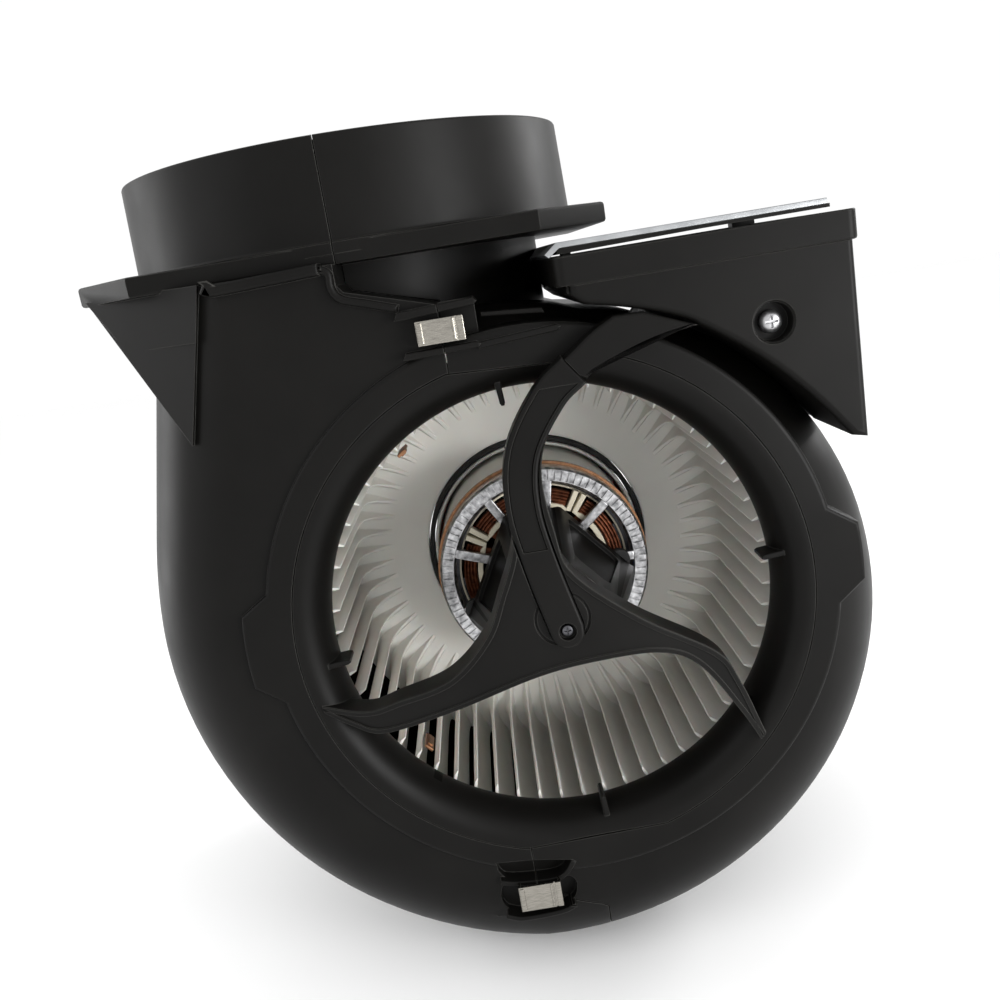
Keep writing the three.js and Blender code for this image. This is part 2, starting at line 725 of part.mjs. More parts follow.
// ---- Assembly -----------------------------------------------------------------------------------
const MATERIALS = {
  casing: { color: 0x1b1a19, roughness: 0.55, metalness: 0 },
  wheel: { color: 0xe6e4dc, roughness: 0.6, metalness: 0 },
  rubber: { color: 0x121212, roughness: 0.85, metalness: 0 },
  zinc: { color: 0xb9bbbd, roughness: 0.35, metalness: 1 },
  nickel: { color: 0xd6cfbf, roughness: 0.28, metalness: 1 },
  steel: { color: 0x9b9c9e, roughness: 0.4, metalness: 1 },
  cast: { color: 0xb0b1b3, roughness: 0.5, metalness: 1 },
  copper: { color: 0x8c4a26, roughness: 0.4, metalness: 0.8 },
  cream: { color: 0xd8cfb4, roughness: 0.6, metalness: 0 },
};

const part = new THREE.Group();

function place(name, material, solid) {
  const mesh = new THREE.Mesh(toGeometry(solid), new THREE.MeshStandardMaterial(MATERIALS[material]));
  mesh.name = name;
  part.add(mesh);
}

place('casing_left_shell', 'casing', casingLeft());
place('casing_right_shell', 'casing', casingRight());
place('front_motor_bracket', 'casing', frontBracket());
place('rear_inlet_ring', 'casing', mirroredInY(inletRing()));
place('cable_duct', 'casing', cableDuct());
place('cable_duct_strip', 'casing', ductStrip());
place('cable_duct_cover', 'casing', ductCover());
place('hub_screw', 'steel', hubScrew());
place('motor_lead', 'rubber', leadRoute(1.8));

place('terminal_box', 'casing', terminalBox());
place('terminal_box_lid', 'zinc', boxLid());
place('terminal_box_screw', 'steel', boxScrew());
place('run_capacitor', 'wheel', capacitor());
place('terminal_block', 'cream', terminalBlock());

place('top_front_clip', 'nickel', springClip(SPLIT_X, 84, 91.2, -1));
place('top_rear_clip', 'nickel', springClip(SPLIT_X, 84, 91.2, 1));
place('bottom_front_clip', 'nickel', springClip(SPLIT_X + 1.3, -96, -87.2, -1));
place('bottom_rear_clip', 'nickel', springClip(SPLIT_X + 1.3, -96, -87.2, 1));

place('stator_core', 'steel', statorCore());
for (let i = 0; i < POLES; i += 1) place(`stator_coil_${i + 1}`, 'copper', coil(i));
place('slot_insulator', 'cream', slotInsulator());
place('motor_front_shield', 'cast', endShield(-1));
place('motor_rear_shield', 'cast', endShield(1));
place('front_bearing', 'steel', bearing(-1));
place('rear_bearing', 'steel', bearing(1));
place('motor_mount_pad_1', 'rubber', mountPad(27, -160));
place('motor_mount_pad_2', 'rubber', mountPad(25.5, 0));
place('motor_mount_bush', 'rubber', mountBush());

place('wheel_front_half', 'wheel', wheelHalf());
place('wheel_rear_half', 'wheel', mirroredInY(wheelHalf()));
place('wheel_hub_cup', 'wheel', hubCup());
place('wheel_damper_ring', 'rubber', damperRing());
place('fan_shaft', 'steel', drum(SHAFT_RADIUS, -46, 33.5, 0, 0, 24));
place('rotor', 'steel', rotor());
place('balance_clip_1', 'nickel', balanceClip(126, -68));
place('balance_clip_2', 'nickel', balanceClip(-136.5, -68));

export default part;
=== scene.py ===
"""Looks of a double-inlet extractor hood blower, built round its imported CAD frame.

Lengths in this file are millimetres until the mesh is made; Blender gets metres.
X and Z of most pieces are measured from the fan's axis, which runs along Y.
"""
import json
import math

import bpy
import bmesh
import numpy as np
from mathutils import Matrix, Vector


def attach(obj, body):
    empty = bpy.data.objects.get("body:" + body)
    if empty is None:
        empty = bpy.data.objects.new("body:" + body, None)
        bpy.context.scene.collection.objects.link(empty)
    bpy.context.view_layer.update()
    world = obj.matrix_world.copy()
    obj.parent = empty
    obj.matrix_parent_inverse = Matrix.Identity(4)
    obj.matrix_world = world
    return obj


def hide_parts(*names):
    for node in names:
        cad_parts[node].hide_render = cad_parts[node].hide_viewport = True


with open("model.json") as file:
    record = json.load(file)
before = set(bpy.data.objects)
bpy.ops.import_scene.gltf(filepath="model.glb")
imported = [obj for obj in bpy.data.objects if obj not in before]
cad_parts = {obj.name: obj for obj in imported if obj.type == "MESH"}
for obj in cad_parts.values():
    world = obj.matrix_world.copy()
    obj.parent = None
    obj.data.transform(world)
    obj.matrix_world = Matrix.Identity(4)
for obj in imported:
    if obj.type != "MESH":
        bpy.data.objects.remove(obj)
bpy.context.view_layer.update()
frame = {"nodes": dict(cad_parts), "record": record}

MM = 0.001
FAN_X = 46.0
FAN_Z = -116.0
GAP = 0.3
WALL = 2.5

HALF_DEPTH = 83.4  # casing, front face to mid plane
SHOULDER = 33.0
FACE_Y = 85.4  # raised band round each inlet
BAND_RADIUS = 86.0
SEAM_RADIUS = 77.9
LIP_RADIUS = 67.85
LIP_Y = 72.8

SIDE_RADIUS = 104.6
GROWTH = 0.217
MAX_RADIUS = 126.0
TONGUE = 75.0
ROOF = 105.0

FLANGE_X = 80.5
FLANGE_Y = 75.7
FLANGE_CHAMFER = 21.5
FLANGE_THICKNESS = 6.0
COLLAR_RADIUS = 75.0
COLLAR_RIM_RADIUS = 74.1
COLLAR_HEIGHT = 29.6
FLOOR_Z = -241.5
NECK_RADIUS = 62.0

HUB_Y = -98.9
HUB_CENTRE = (2.0, 0.0)
GROOVE_CENTRE = (1.2, 3.3)  # the fine ring round the duct's foot
GROOVE_RADIUS = 7.7
HOLDER_FRONT = -90.0
HOLDER_BACK = -43.3
HOLDER_TOP = 22.0
HOLDER_CORNER = (17.5, 30.0)  # how far its rounded corners reach from the axis, front and back
HOLDER_SIDES = ((41, 15.5, 20.5), (152, 15.5, 19.8), (277, 13.0, 16.0))  # facing, distance front and back
RECESS_DEPTH = 1.3
FIN_ANGLE = 5
DUCT_Y = -101.4
DUCT_SLOPE = 8 / 75
DUCT_DEPTH = 6.5
DUCT_HALF_WIDTH = 4.9
STRIP_BOTTOM = 24.0
STRIP_TOP = 68.0
SCREW_HOLE = 1.9

BLADES = 60
BLADE_INNER = 66.3
BLADE_OUTER = 78.9
WEB_HOLE = 40.7
CUP_RADIUS = 38.3

STATOR_RADIUS = 35.6
STATOR_LIP = 36.5
STATOR_BORE = 13.9
STATOR_FRONT = -33.0
STATOR_BACK = 7.0
POLES = 4
POLE_ANGLE = 11
SPOKES = 9
RING_RIBS = 90

BOX_FRONT = -92.4
BOX_BACK = 7.6
BOX_TOP = 102.1
BOX_RIM_BOTTOM = 94.0
BOX_WALL = 2.2
LID_BOTTOM = 104.3
LID_THICKNESS = 1.6
BOX_SCREW = (71.2, 75.5)

GUSSET = [(-123.9, -58.0, 111.4), (-83.6, -83.0, 110.6), (-95.2, -82.6, 66.7)]  # flange corner, face, tip
GUSSET_CREASE = [(-112.0, -66.8, 95.2), (-87.4, -82.9, 95.2)]

SPLIT_X = -19.4
JOG_LOW_Z = 94.8
JOG_HIGH_Z = 101.3


# ---- Solids: every builder returns a mesh object in metres, closed and facing outwards ----
def new_object(name, verts, faces, at_fan=True):
    """A mesh object from millimetre points; at_fan moves X and Z to the fan's axis."""
    points = np.array(verts, float)
    if at_fan:
        points = points + np.array([FAN_X, 0, FAN_Z])
    mesh = bpy.data.meshes.new(name)
    mesh.from_pydata((points * MM).tolist(), [], faces)
    mesh.update()
    made = bpy.data.objects.new(name, mesh)
    bpy.context.scene.collection.objects.link(made)
    face_outwards(made)
    return made


def face_outwards(made):
    """Welds the points and turns every face outwards."""
    edit = bmesh.new()
    edit.from_mesh(made.data)
    bmesh.ops.remove_doubles(edit, verts=edit.verts, dist=1e-7)
    bmesh.ops.recalc_face_normals(edit, faces=edit.faces)
    if edit.calc_volume(signed=True) < 0:
        bmesh.ops.reverse_faces(edit, faces=edit.faces)
    edit.to_mesh(made.data)
    edit.free()


def grid_faces(rows, columns, close_rows=False, close_columns=False):
    """Quads over a rows by columns grid of points."""
    faces = []
    for i in range(rows if close_rows else rows - 1):
        for j in range(columns if close_columns else columns - 1):
            a, b = i, (i + 1) % rows
            c, d = j, (j + 1) % columns
            faces.append((a * columns + c, a * columns + d, b * columns + d, b * columns + c))
    return faces


def lathe(name, profile, segments=96):
    """A closed (radius, y) profile turned about the fan's axis."""
    verts = []
    for i in range(segments):
        a = 2 * math.pi * i / segments
        verts += [(r * math.cos(a), y, r * math.sin(a)) for r, y in profile]
    return new_object(name, verts, grid_faces(segments, len(profile), True, True))


def tube(name, inner, outer, y0, y1, centre=(0, 0), segments=96):
    """A plain ring or, with no inner radius, a plain cylinder along Y; centre is from the fan's axis."""
    made = lathe(name, [(inner, y0), (outer, y0), (outer, y1), (inner, y1)], segments)
    return shifted(made, *centre)


def shifted(made, x, z):
    made.data.transform(Matrix.Translation((x * MM, 0, z * MM)))
    return made


def lathe_upright(name, profile, segments=128):
    """A closed (radius, z) profile turned about the outlet's axis."""
    verts = []
    for i in range(segments):
        a = 2 * math.pi * i / segments
        verts += [(r * math.cos(a), r * math.sin(a), z) for r, z in profile]
    return new_object(name, verts, grid_faces(segments, len(profile), True, True), at_fan=False)


def prism(name, outline, y0, y1, round_front=0.0, round_back=0.0, steps=3):
    """An (x, z) outline from the fan's axis, extruded along Y, with rounded front and back edges."""
    angles = [math.pi / 2 * k / steps for k in range(steps + 1)]
    front = [(y0 + round_front * (1 - math.cos(a)), round_front * (1 - math.sin(a))) for a in angles]
    back = [(y1 - round_back * (1 - math.cos(a)), round_back * (1 - math.sin(a))) for a in reversed(angles)]
    layers = (front if round_front > 0 else [(y0, 0)]) + (back if round_back > 0 else [(y1, 0)])
    return layered(name, outline, layers)


def loft(name, rings, at_fan=True):
    """A skin over rings of (x, y, z) points that all have the same count, closed at both ends."""
    n = len(rings[0])
    faces = grid_faces(len(rings), n, False, True)
    faces.append(tuple(range(n)))
    faces.append(tuple(range((len(rings) - 1) * n, len(rings) * n)))
    return new_object(name, [p for ring in rings for p in ring], faces, at_fan)


def layered(name, outline, layers, upright=False):
    """Stacked copies of an outline; each layer is (height, how far it is drawn in).

    The outline is X-Z from the fan's axis and the layers run along Y, or, for an upright one,
    X-Y from the outlet's axis with the layers along Z.
    """
    points = np.array(outline, float)
    rings = []
    for height, inset in layers:
        drawn = inset_outline(points, inset)
        rings.append([(x, z, height) if upright else (x, height, z) for x, z in drawn])
    return loft(name, rings, not upright)


def inset_outline(points, inset):
    """A closed outline drawn in by inset along its corner normals."""
    if abs(inset) < 1e-9:
        return points
    before = points - np.roll(points, 1, axis=0)
    after = np.roll(points, -1, axis=0) - points
    before /= np.linalg.norm(before, axis=1)[:, None]
    after /= np.linalg.norm(after, axis=1)[:, None]
    area = np.sum(points[:, 0] * np.roll(points[:, 1], -1) - np.roll(points[:, 0], -1) * points[:, 1])
    side = 1 if area > 0 else -1
    normal = np.stack([-(before[:, 1] + after[:, 1]), before[:, 0] + after[:, 0]], 1) * side
    normal /= np.linalg.norm(normal, axis=1)[:, None]
    cosine = np.clip(np.sum(normal * np.stack([-before[:, 1], before[:, 0]], 1) * side, axis=1), 0.4, 1)
    return points + normal * (inset / cosine)[:, None]


def block(name, low, high, rounding=0.0, at_fan=True):
    """A box between two corners, its edges rounded."""
    edit = bmesh.new()
    bmesh.ops.create_cube(edit, size=1)
    size = [b - a for a, b in zip(low, high)]
    middle = [(a + b) / 2 for a, b in zip(low, high)]
    for v in edit.verts:
        v.co = Vector([m + s * c for m, s, c in zip(middle, size, v.co)])
    if rounding > 0:
        bmesh.ops.bevel(edit, geom=edit.edges[:], offset=rounding, segments=2, affect="EDGES", profile=0.5)
    verts = [tuple(v.co) for v in edit.verts]
    faces = [tuple(v.index for v in f.verts) for f in edit.faces]
    edit.free()
    return new_object(name, verts, faces, at_fan)


def combine(base, others, operation):
    """Adds, cuts or keeps the shared part of base and others, which are used up."""
    for other in others:
        step = base.modifiers.new("combine", "BOOLEAN")
        step.operation = operation
        step.solver = "MANIFOLD"
        step.object = other
        graph = bpy.context.evaluated_depsgraph_get()
        mesh = bpy.data.meshes.new_from_object(base.evaluated_get(graph))
        base.modifiers.clear()
        old = base.data
        base.data = mesh
        bpy.data.meshes.remove(old)
        bpy.data.meshes.remove(other.data)
    return base


def join(base, *others):
    return combine(base, others, "UNION")


def cut(base, *others):
    return combine(base, others, "DIFFERENCE")


def keep(base, other):
    return combine(base, [other], "INTERSECT")


def mirrored(made, name):
    """A copy on the other side of the mid plane."""
    twin = made.copy()
    twin.data = made.data.copy()
    twin.name = name
    bpy.context.scene.collection.objects.link(twin)
    twin.data.transform(Matrix.Scale(-1, 4, (0, 1, 0)))
    face_outwards(twin)
    return twin


def finish_piece(made, body, slot, look, *nodes, smooth_angle=32):
    """Shading, material, and the piece's place in the frame."""
    made.data.materials.clear()
    made.data.materials.append(MATERIALS[look])
    made.data.shade_smooth()
    made.data.set_sharp_from_angle(angle=math.radians(smooth_angle))
    weighted = made.modifiers.new("even_shading", "WEIGHTED_NORMAL")
    weighted.keep_sharp = True
    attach(made, body)
    if nodes:
        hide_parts(*nodes)
    return made


def fixed(made, slot, look, *nodes):
    return finish_piece(made, "housing", slot, look, *nodes)


def spinning(made, slot, look, *nodes, smooth_angle=32):
    return finish_piece(made, "impeller", slot, look, *nodes, smooth_angle=smooth_angle)


# ---- Outlines, in millimetres from the fan's axis ----
def polar(radius, degrees):
    return (radius * math.cos(math.radians(degrees)), radius * math.sin(math.radians(degrees)))


def spiral_radius(degrees):
    """The scroll wall's radius; it grows from the tongue, clockwise seen from the front."""
    if degrees > TONGUE:
        top = SIDE_RADIUS - GROWTH * TONGUE + 0.2 * (min(degrees, ROOF) - TONGUE)
        return top + (MAX_RADIUS - top) * max(degrees - ROOF, 0) / (180 - ROOF)
    return min(SIDE_RADIUS - GROWTH * degrees, MAX_RADIUS)


def spiral(start, stop, step=3.0):
    count = round((start - stop) / step)
    angles = [start - (start - stop) * i / count for i in range(count + 1)]
    return [polar(spiral_radius(a), a) for a in angles]


def bezier(a, b, c, count):
    found = []
    for i in range(count + 1):
        t = i / count
        found.append(tuple((1 - t) ** 2 * p + 2 * t * (1 - t) * q + t * t * r for p, q, r in zip(a, b, c)))
    return found


def smooth(points, per_span=8):
    """A Catmull-Rom curve through the points."""
    p = [np.array(q, float) for q in points]
    p = [2 * p[0] - p[1]] + p + [2 * p[-1] - p[-2]]
    found = []
    for k in range(1, len(p) - 2):
        for i in range(per_span):
            t = i / per_span
            found.append(0.5 * (2 * p[k] + (p[k + 1] - p[k - 1]) * t
                                + (2 * p[k - 1] - 5 * p[k] + 4 * p[k + 1] - p[k + 2]) * t ** 2
                                + (3 * p[k] - p[k - 1] - 3 * p[k + 1] + p[k + 2]) * t ** 3))
    found.append(p[-2])
    return [tuple(q) for q in found]


def ribbon(line, half):
    """The two sides of a strip along a line: left side backwards, then right side."""
    line = np.array(line)
    tangent = np.gradient(line, axis=0)
    tangent /= np.linalg.norm(tangent, axis=1)[:, None]
    side = np.stack([-tangent[:, 1], tangent[:, 0]], 1) * np.reshape(half, (-1, 1))
    return [tuple(p) for p in (line + side)][::-1], [tuple(p) for p in (line - side)]


def rounded_rectangle(x0, y0, x1, y1, radius, steps=5):
    found = []
    for cx, cy, start in ((x1 - radius, y1 - radius, 0), (x0 + radius, y1 - radius, 90),
                          (x0 + radius, y0 + radius, 180), (x1 - radius, y0 + radius, 270)):
        for i in range(steps + 1):
            x, y = polar(radius, start + 90 * i / steps)
            found.append((cx + x, cy + y))
    return found


def left_outline():
    points = [(60, 160)] + spiral(TONGUE, -180)
    points += bezier((-MAX_RADIUS, 0), (-MAX_RADIUS, 16), (-121, 37), 10)[1:]
    return points + [(-106, 99.5), (-91.5, 160)]


def right_outline():
    return spiral(180, -177)


def ring_edge(radius, step=3.0):
    """The round edge of the inlet ring with its straight stretches at the top and bottom."""
    angles = [-180 + step * i for i in range(int(360 / step))]
    return [polar(radius, a) for a in angles if not 70 < a < 104 and not -104 < a < -73]


# ---- Casing ----
def casing_body(name, outline, grow=0.0, steps=12):
    """A casing body with rounded shoulders, moved outwards by grow."""
    reach = SHOULDER + grow
    straight = HALF_DEPTH - SHOULDER
    angles = [math.pi / 2 * i / steps for i in range(steps + 1)]
    front = [(-straight - reach * math.cos(a), SHOULDER - reach * math.sin(a)) for a in angles]
    back = [(-y, inset) for y, inset in reversed(front)]
    return layered(name, outline, front + back)


def flange_outline():
    x, y, c = FLANGE_X, FLANGE_Y, FLANGE_CHAMFER
    return [
        (x, c - y), (x, y - c), (x - c, y), (c - x, y),
        (-x, y - c), (-x, c - y), (c - x, -y), (x - c, -y),
    ]


def flange():
    t = FLANGE_THICKNESS
    r = 0.9
    layers = [(-t, r), (-t + 0.3 * r, 0.3 * r), (-t + r, 0), (-r, 0), (-0.3 * r, 0.3 * r), (0, r)]
    return layered("flange", flange_outline(), layers, upright=True)


def collar():
    base, top = -FLANGE_THICKNESS / 2, COLLAR_HEIGHT
    outer, inner = COLLAR_RADIUS, COLLAR_RADIUS - WALL
    rim = COLLAR_RIM_RADIUS
    return lathe_upright("collar", [
        (inner, base), (outer + 1.2, base), (outer + 1.2, 0.2), (outer + 0.4, 0.5), (outer, 1.3),
        (rim, top - 0.7), (rim - 0.25, top - 0.2), (rim - 0.8, top),
        (rim - WALL + 0.6, top), (rim - WALL, top - 0.6),
    ])


def neck(radius, bottom, top):
    return lathe_upright("neck", [(0, bottom), (radius, bottom), (radius, top), (0, top)], 96)


def band():
    """The raised band round an inlet with its lobes, soft at the edges."""
    r = BAND_RADIUS
    skin = -FACE_Y + WALL
    made = lathe("band", [
        (60, -FACE_Y), (r - 1.6, -FACE_Y), (r - 0.8, -FACE_Y + 0.2), (r - 0.2, -FACE_Y + 0.7),
        (r, -FACE_Y + 1.5), (r, -62), (r - WALL, -62), (r - WALL, skin), (60, skin),
    ], 144)
    for start, stop in [(171, 185), (-3, 8)]:
        spread = [start + (stop - start) * i / 6 for i in range(7)]
        edge = [polar(84, start - 6)] + [polar(93.2, a) for a in spread] + [polar(84, stop + 6)]
        made = join(made, prism("lobe", edge, -FACE_Y, -HALF_DEPTH + 8, round_front=1.2))
    return made


def clip_lugs():
    """Two ledges that hold a spring clip, with the web between them."""
    upper = prism("lug", [(-31.6, 92.2), (-30.6, 94.4), (-9.2, 95.2), (-8.2, 94.2), (-9, 93.4), (-30, 92)],
                  -FACE_Y - 2.5, -68, 0.4)
    lower = prism("lug", [(-31, 81.2), (-30, 83), (-10, 83.3), (-9, 82.4), (-10, 81.6), (-29, 81)],
                  -FACE_Y - 2.5, -80, 0.4)
    web = block("lug", (-26, -80, 82), (-9, -77.5, 95.2))
    ridge = prism("ridge", [(-9.7, 81), (-9.7, 82.9), (12.6, 84.3), (13.8, 83.6), (12.6, 82.4)],
                  -FACE_Y - 1.6, -80, 0.5)
    faint = prism("ridge", [(-7.6, 89.4), (-7.6, 90.6), (9.6, 89.2), (10.2, 87.6)], -80.6, -76, 0.4)
    return join(upper, lower, web, ridge, faint)


def clip_pockets():
    """Cutters for the two pockets round the bottom clip; the ridge between them carries it."""
    crescent = smooth([(-31, -78.6), (-19, -79.6), (-7.4, -81.6)], 6) + smooth(
        [(-8, -83.6), (-10.4, -86.2), (-14, -87.2), (-22, -86.8), (-28.6, -85.4), (-30.8, -82.6)], 6)
    oval = smooth([(-29.6, -87.2), (-24, -88.6), (-12, -88.2), (-8.4, -88.6), (-6.9, -90.8), (-7.2, -94.4),
                   (-9, -97.2), (-14, -98.6), (-26, -98.9), (-30, -97), (-31.4, -92.8), (-30.6, -88.8)], 4)
    return [prism("pocket", crescent, -95, -FACE_Y + 5), prism("pocket", oval, -95, -FACE_Y + 5.5)]


def pocket_rims():
    """Rounded lips along the lower edge of each pocket."""
    ridge = ribbon(smooth([(-30.6, -85.6), (-25, -86.9), (-14, -87.5), (-9.6, -86), (-6.6, -82)], 6), 0.8)
    under = ribbon(smooth([(-30.4, -98), (-25, -99.7), (-13, -99.3), (-8, -97.7)], 6), 0.8)
    return [prism("lip", left + right, -FACE_Y - 0.5, -FACE_Y + 6, 0.5) for left, right in (ridge, under)]


def pocket_floor():
    """Closes the casing behind the pockets."""
    return block("floor", (-34, -FACE_Y + 4.5, -101), (-4, -FACE_Y + 8, -77.5), 0.5)


def gusset():
    """Slanted web from the flange's corner to the casing's face, its lower half stepped back."""
    upper = [GUSSET[0], GUSSET[1], GUSSET_CREASE[1], GUSSET_CREASE[0]]
    return join(slanted_web(GUSSET, 0.8, 3.0), slanted_web(upper, 0, 1.2))


def slanted_web(corners, front, back):
    """A flat panel through three-dimensional corners, between two shifts along Y."""
    rings = [[(x, y + shift, z) for x, y, z in corners] for shift in (front, back)]
    return loft("gusset", rings)


def both(made):
    return join(made, mirrored(made, "twin"))


def parting_rib():
    """The rounded lip under the flange that turns down beside the parting line to the upper lug."""
    ledge = smooth([(-82, 109.6), (-79, 108.4), (-64, 108.8), (-49.5, 109.3)], 6)
    turn = smooth([(-49.5, 109.3), (-47.3, 107.6), (-47.2, 103.6), (-45, 100.4), (-38, 98), (-30, 95.3)], 6)
    parts = []
    for line, half in ((ledge, 1.7), (turn, 1.15)):
        left, right = ribbon(line, half)
        parts.append(prism("rib", left + right, -FACE_Y - 0.6, -78, 1.1, steps=4))
    return join(*parts)


def left_side(shift):
    """Everything on the left shell's side of the parting line."""
    line = [
        (3.2, -160), (2.2, -103.4), (0.2, -101.8), (-8, -98), (SPLIT_X, -96), (SPLIT_X, JOG_LOW_Z),
        (-44.2, 102.2), (-45.9, 104.4), (-46, 200), (-300, 200), (-300, -160),
    ]
    return prism("side", [(x + shift, z + shift) for x, z in line], -150, 150)


def below_flange(wall):
    """Space below the flange; it ends at the underside where the casing stands out past the flange."""
    underside = -FAN_Z - FLANGE_THICKNESS
    depth = FLANGE_Y - 0.5 - wall
    return join(block("below", (-300, -150, -200), (300, 150, underside + 0.2 - wall)),
                block("below", (-300, -depth, -200), (300, depth, underside + FLANGE_THICKNESS / 2)))


def inlet_holes():
    hole = prism("hole", ring_edge(SEAM_RADIUS + GAP), -150, -HALF_DEPTH + SHOULDER)
    return both(hole)


def wheel_room():
    depth = FACE_Y - WALL
    return tube("room", 0, BAND_RADIUS - WALL, -depth, depth, segments=144)


def casing_left():
    shell = keep(casing_body("casing_left", left_outline()), below_flange(0))
    shell = join(shell, flange(), collar(), both(gusset()), both(parting_rib()))
    jog = prism("jog", [
        (SPLIT_X - 3, JOG_LOW_Z - WALL), (-FAN_X - WALL, JOG_HIGH_Z - WALL),
        (-FAN_X - WALL, 130), (50, 130), (50, JOG_LOW_Z - WALL),
    ], -150, 150)
    inside = cut(casing_body("inside", left_outline(), -WALL), jog)
    duct = neck(COLLAR_RADIUS - WALL, -60, COLLAR_HEIGHT + 1)
    inside = keep(inside, join(below_flange(WALL), duct))
    bore = neck(COLLAR_RADIUS - WALL, 0, COLLAR_HEIGHT + 1)
    shell = cut(shell, inside, neck(NECK_RADIUS - WALL, -40, 1), bore)
    return join(keep(finish_faces(shell), left_side(0)), seam_tongue())


def seam_tongue():
    """Lip on the left shell that closes the collar's parting line from inside."""
    inner = COLLAR_RADIUS - WALL
    parts = []
    top = COLLAR_HEIGHT - 1.2
    for outer, end in ((inner + 0.5, 0), (inner - GAP / 2, 1.8)):
        profile = [(inner - 1, 0.5), (outer, 0.5), (outer, top), (inner - 1, top)]
        span = block("span", (-4, -100, -10), (end, 100, 50), at_fan=False)
        parts.append(keep(lathe_upright("tongue", profile), span))
    return join(*parts)


def finish_faces(shell):
    """The inlet bands, holes, clip ledges and clip pockets, alike on both shells."""
    shell = join(cut(shell, wheel_room()), both(band()))
    shell = join(cut(shell, inlet_holes()), both(clip_lugs()), both(pocket_floor()))
    for pocket in clip_pockets():
        shell = cut(shell, both(pocket))
    for lip in pocket_rims():
        shell = join(shell, both(lip))
    return cut(shell, inlet_holes())


def casing_right():
    shell = join(casing_body("casing_right", right_outline()), neck(NECK_RADIUS, -45, -FLANGE_THICKNESS / 2))
    shell = join(shell, flange(), collar())
    shell = cut(shell, casing_body("inside", right_outline(), -WALL), neck(NECK_RADIUS - WALL, -60, 1))
    shell = cut(shell, neck(COLLAR_RADIUS - WALL, 0, COLLAR_HEIGHT + 1), wheel_room())
    return cut(finish_faces(shell), left_side(GAP))


# ---- Inlet rings and motor bracket ----
def turned_about_fan(made, degrees):
    """Turns a piece about the fan's axis, from +X towards +Z."""
    centre = Matrix.Translation((FAN_X * MM, 0, FAN_Z * MM))
    made.data.transform(centre @ Matrix.Rotation(-math.radians(degrees), 4, "Y") @ centre.inverted())
    return made


def repeated(made, count, start=0.0):
    """Count copies of a piece in one mesh, evenly spaced round the fan's axis."""
    edit = bmesh.new()
    for i in range(count):
        copy = made.copy()
        copy.data = made.data.copy()
        edit.from_mesh(turned_about_fan(copy, start + i * 360 / count).data)
        bpy.data.meshes.remove(copy.data)
    edit.to_mesh(made.data)
    edit.free()
    return made


def lathe_at(name, profile, x, z, segments=48):
    """A closed (radius, y) profile turned about an axis along Y through x, z."""
    return shifted(lathe(name, profile, segments), x, z)


def inlet_ring(name):
    """Bell-mouthed ring: flat rim, rounded mouth and a thin lip that reaches into the wheel."""
    mouth = []
    for i in range(15):
        t = math.pi / 2 * i / 14
        mouth.append((77.0 - 9.15 * math.sin(t), -LIP_Y - (FACE_Y - LIP_Y) * math.cos(t)))
    lip = [(LIP_RADIUS + out, -LIP_Y + behind) for out, behind in ((0.2, 1.3), (0.9, 1.9), (1.9, 1.2))]
    back = [(71.5, -77.5), (75, -80), (80, -80.5)]
    ring = lathe(name, [(80, -FACE_Y)] + mouth + lip + back, 144)
    ring = keep(ring, prism("edge", ring_edge(SEAM_RADIUS), -100, -60))
    return join(ring, tube("bead", 76, 80.5, -82.4, -80, segments=144))


def throat_fin():
    """A small guide fin that stands in the mouth."""
    outline = [(63.8, -0.4), (64.6, -0.8), (72.5, -0.9), (72.5, 0.9), (64.6, 0.8), (63.8, 0.4)]
    return prism("fin", outline, -82, -73.5, 0.4)


def arm_edges():
    """Front outline of the three curved arms and the hub, as three smooth edges."""
    lower = smooth([(-76, -17.6), (-66, -23.6), (-56.3, -26.6), (-35.4, -21.1), (-10.6, -13.4), (10, -11),
                    (27.6, -12.2), (39.1, -19.6), (50.4, -38.5), (57, -52)])
    right = smooth([(58.5, -50), (51.1, -28.2), (44.2, -16), (23.1, -0.2), (6.6, 15.4), (3, 27), (3, 50),
                    (20, 74)])
    left = smooth([(11, 75), (-6.3, 53), (-9, 28), (-15.5, 12), (-21.5, 0.7), (-33.6, -10.6), (-49.5, -16),
                   (-61, -19), (-76, -16.4)])
    return lower + right + left


def dome(name, lift=0.0):
    """The bracket's gently domed front, lifted towards the viewer by lift."""
    front = smooth([(0, HUB_Y), (20, HUB_Y), (40, HUB_Y + 3.2), (60, HUB_Y + 8.4), (76, -FACE_Y)], 5)
    profile = [(max(r, 0), y - lift) for r, y in front]
    return lathe(name, profile + [(76, -76), (60, -82), (20, -88), (0, -88)], 128)


def arms():
    """The arms and hub, with a raised bead along their edges."""
    outline = np.array(arm_edges())
    body = keep(prism("arms", outline, -110, -60), dome("dome"))
    core = prism("core", inset_outline(outline, 1.5), -111, -83)
    bead = cut(prism("bead", inset_outline(outline, 0.15), -110, -84), core)
    whole = join(body, keep(bead, dome("bead_dome", 0.6)))
    return keep(whole, prism("inside", ring_edge(SEAM_RADIUS - 1), -112, -60))


def holder_radius(degrees, share, inset):
    """Distance from the fan's axis to the motor holder's wall, towards an angle."""
    reach = HOLDER_CORNER[0] + (HOLDER_CORNER[1] - HOLDER_CORNER[0]) * share - inset
    for facing, front, back in HOLDER_SIDES:
        cosine = math.cos(math.radians(degrees - facing))
        if cosine > 0.1:
            reach = min(reach, (front + (back - front) * share - inset) / cosine)
    return reach


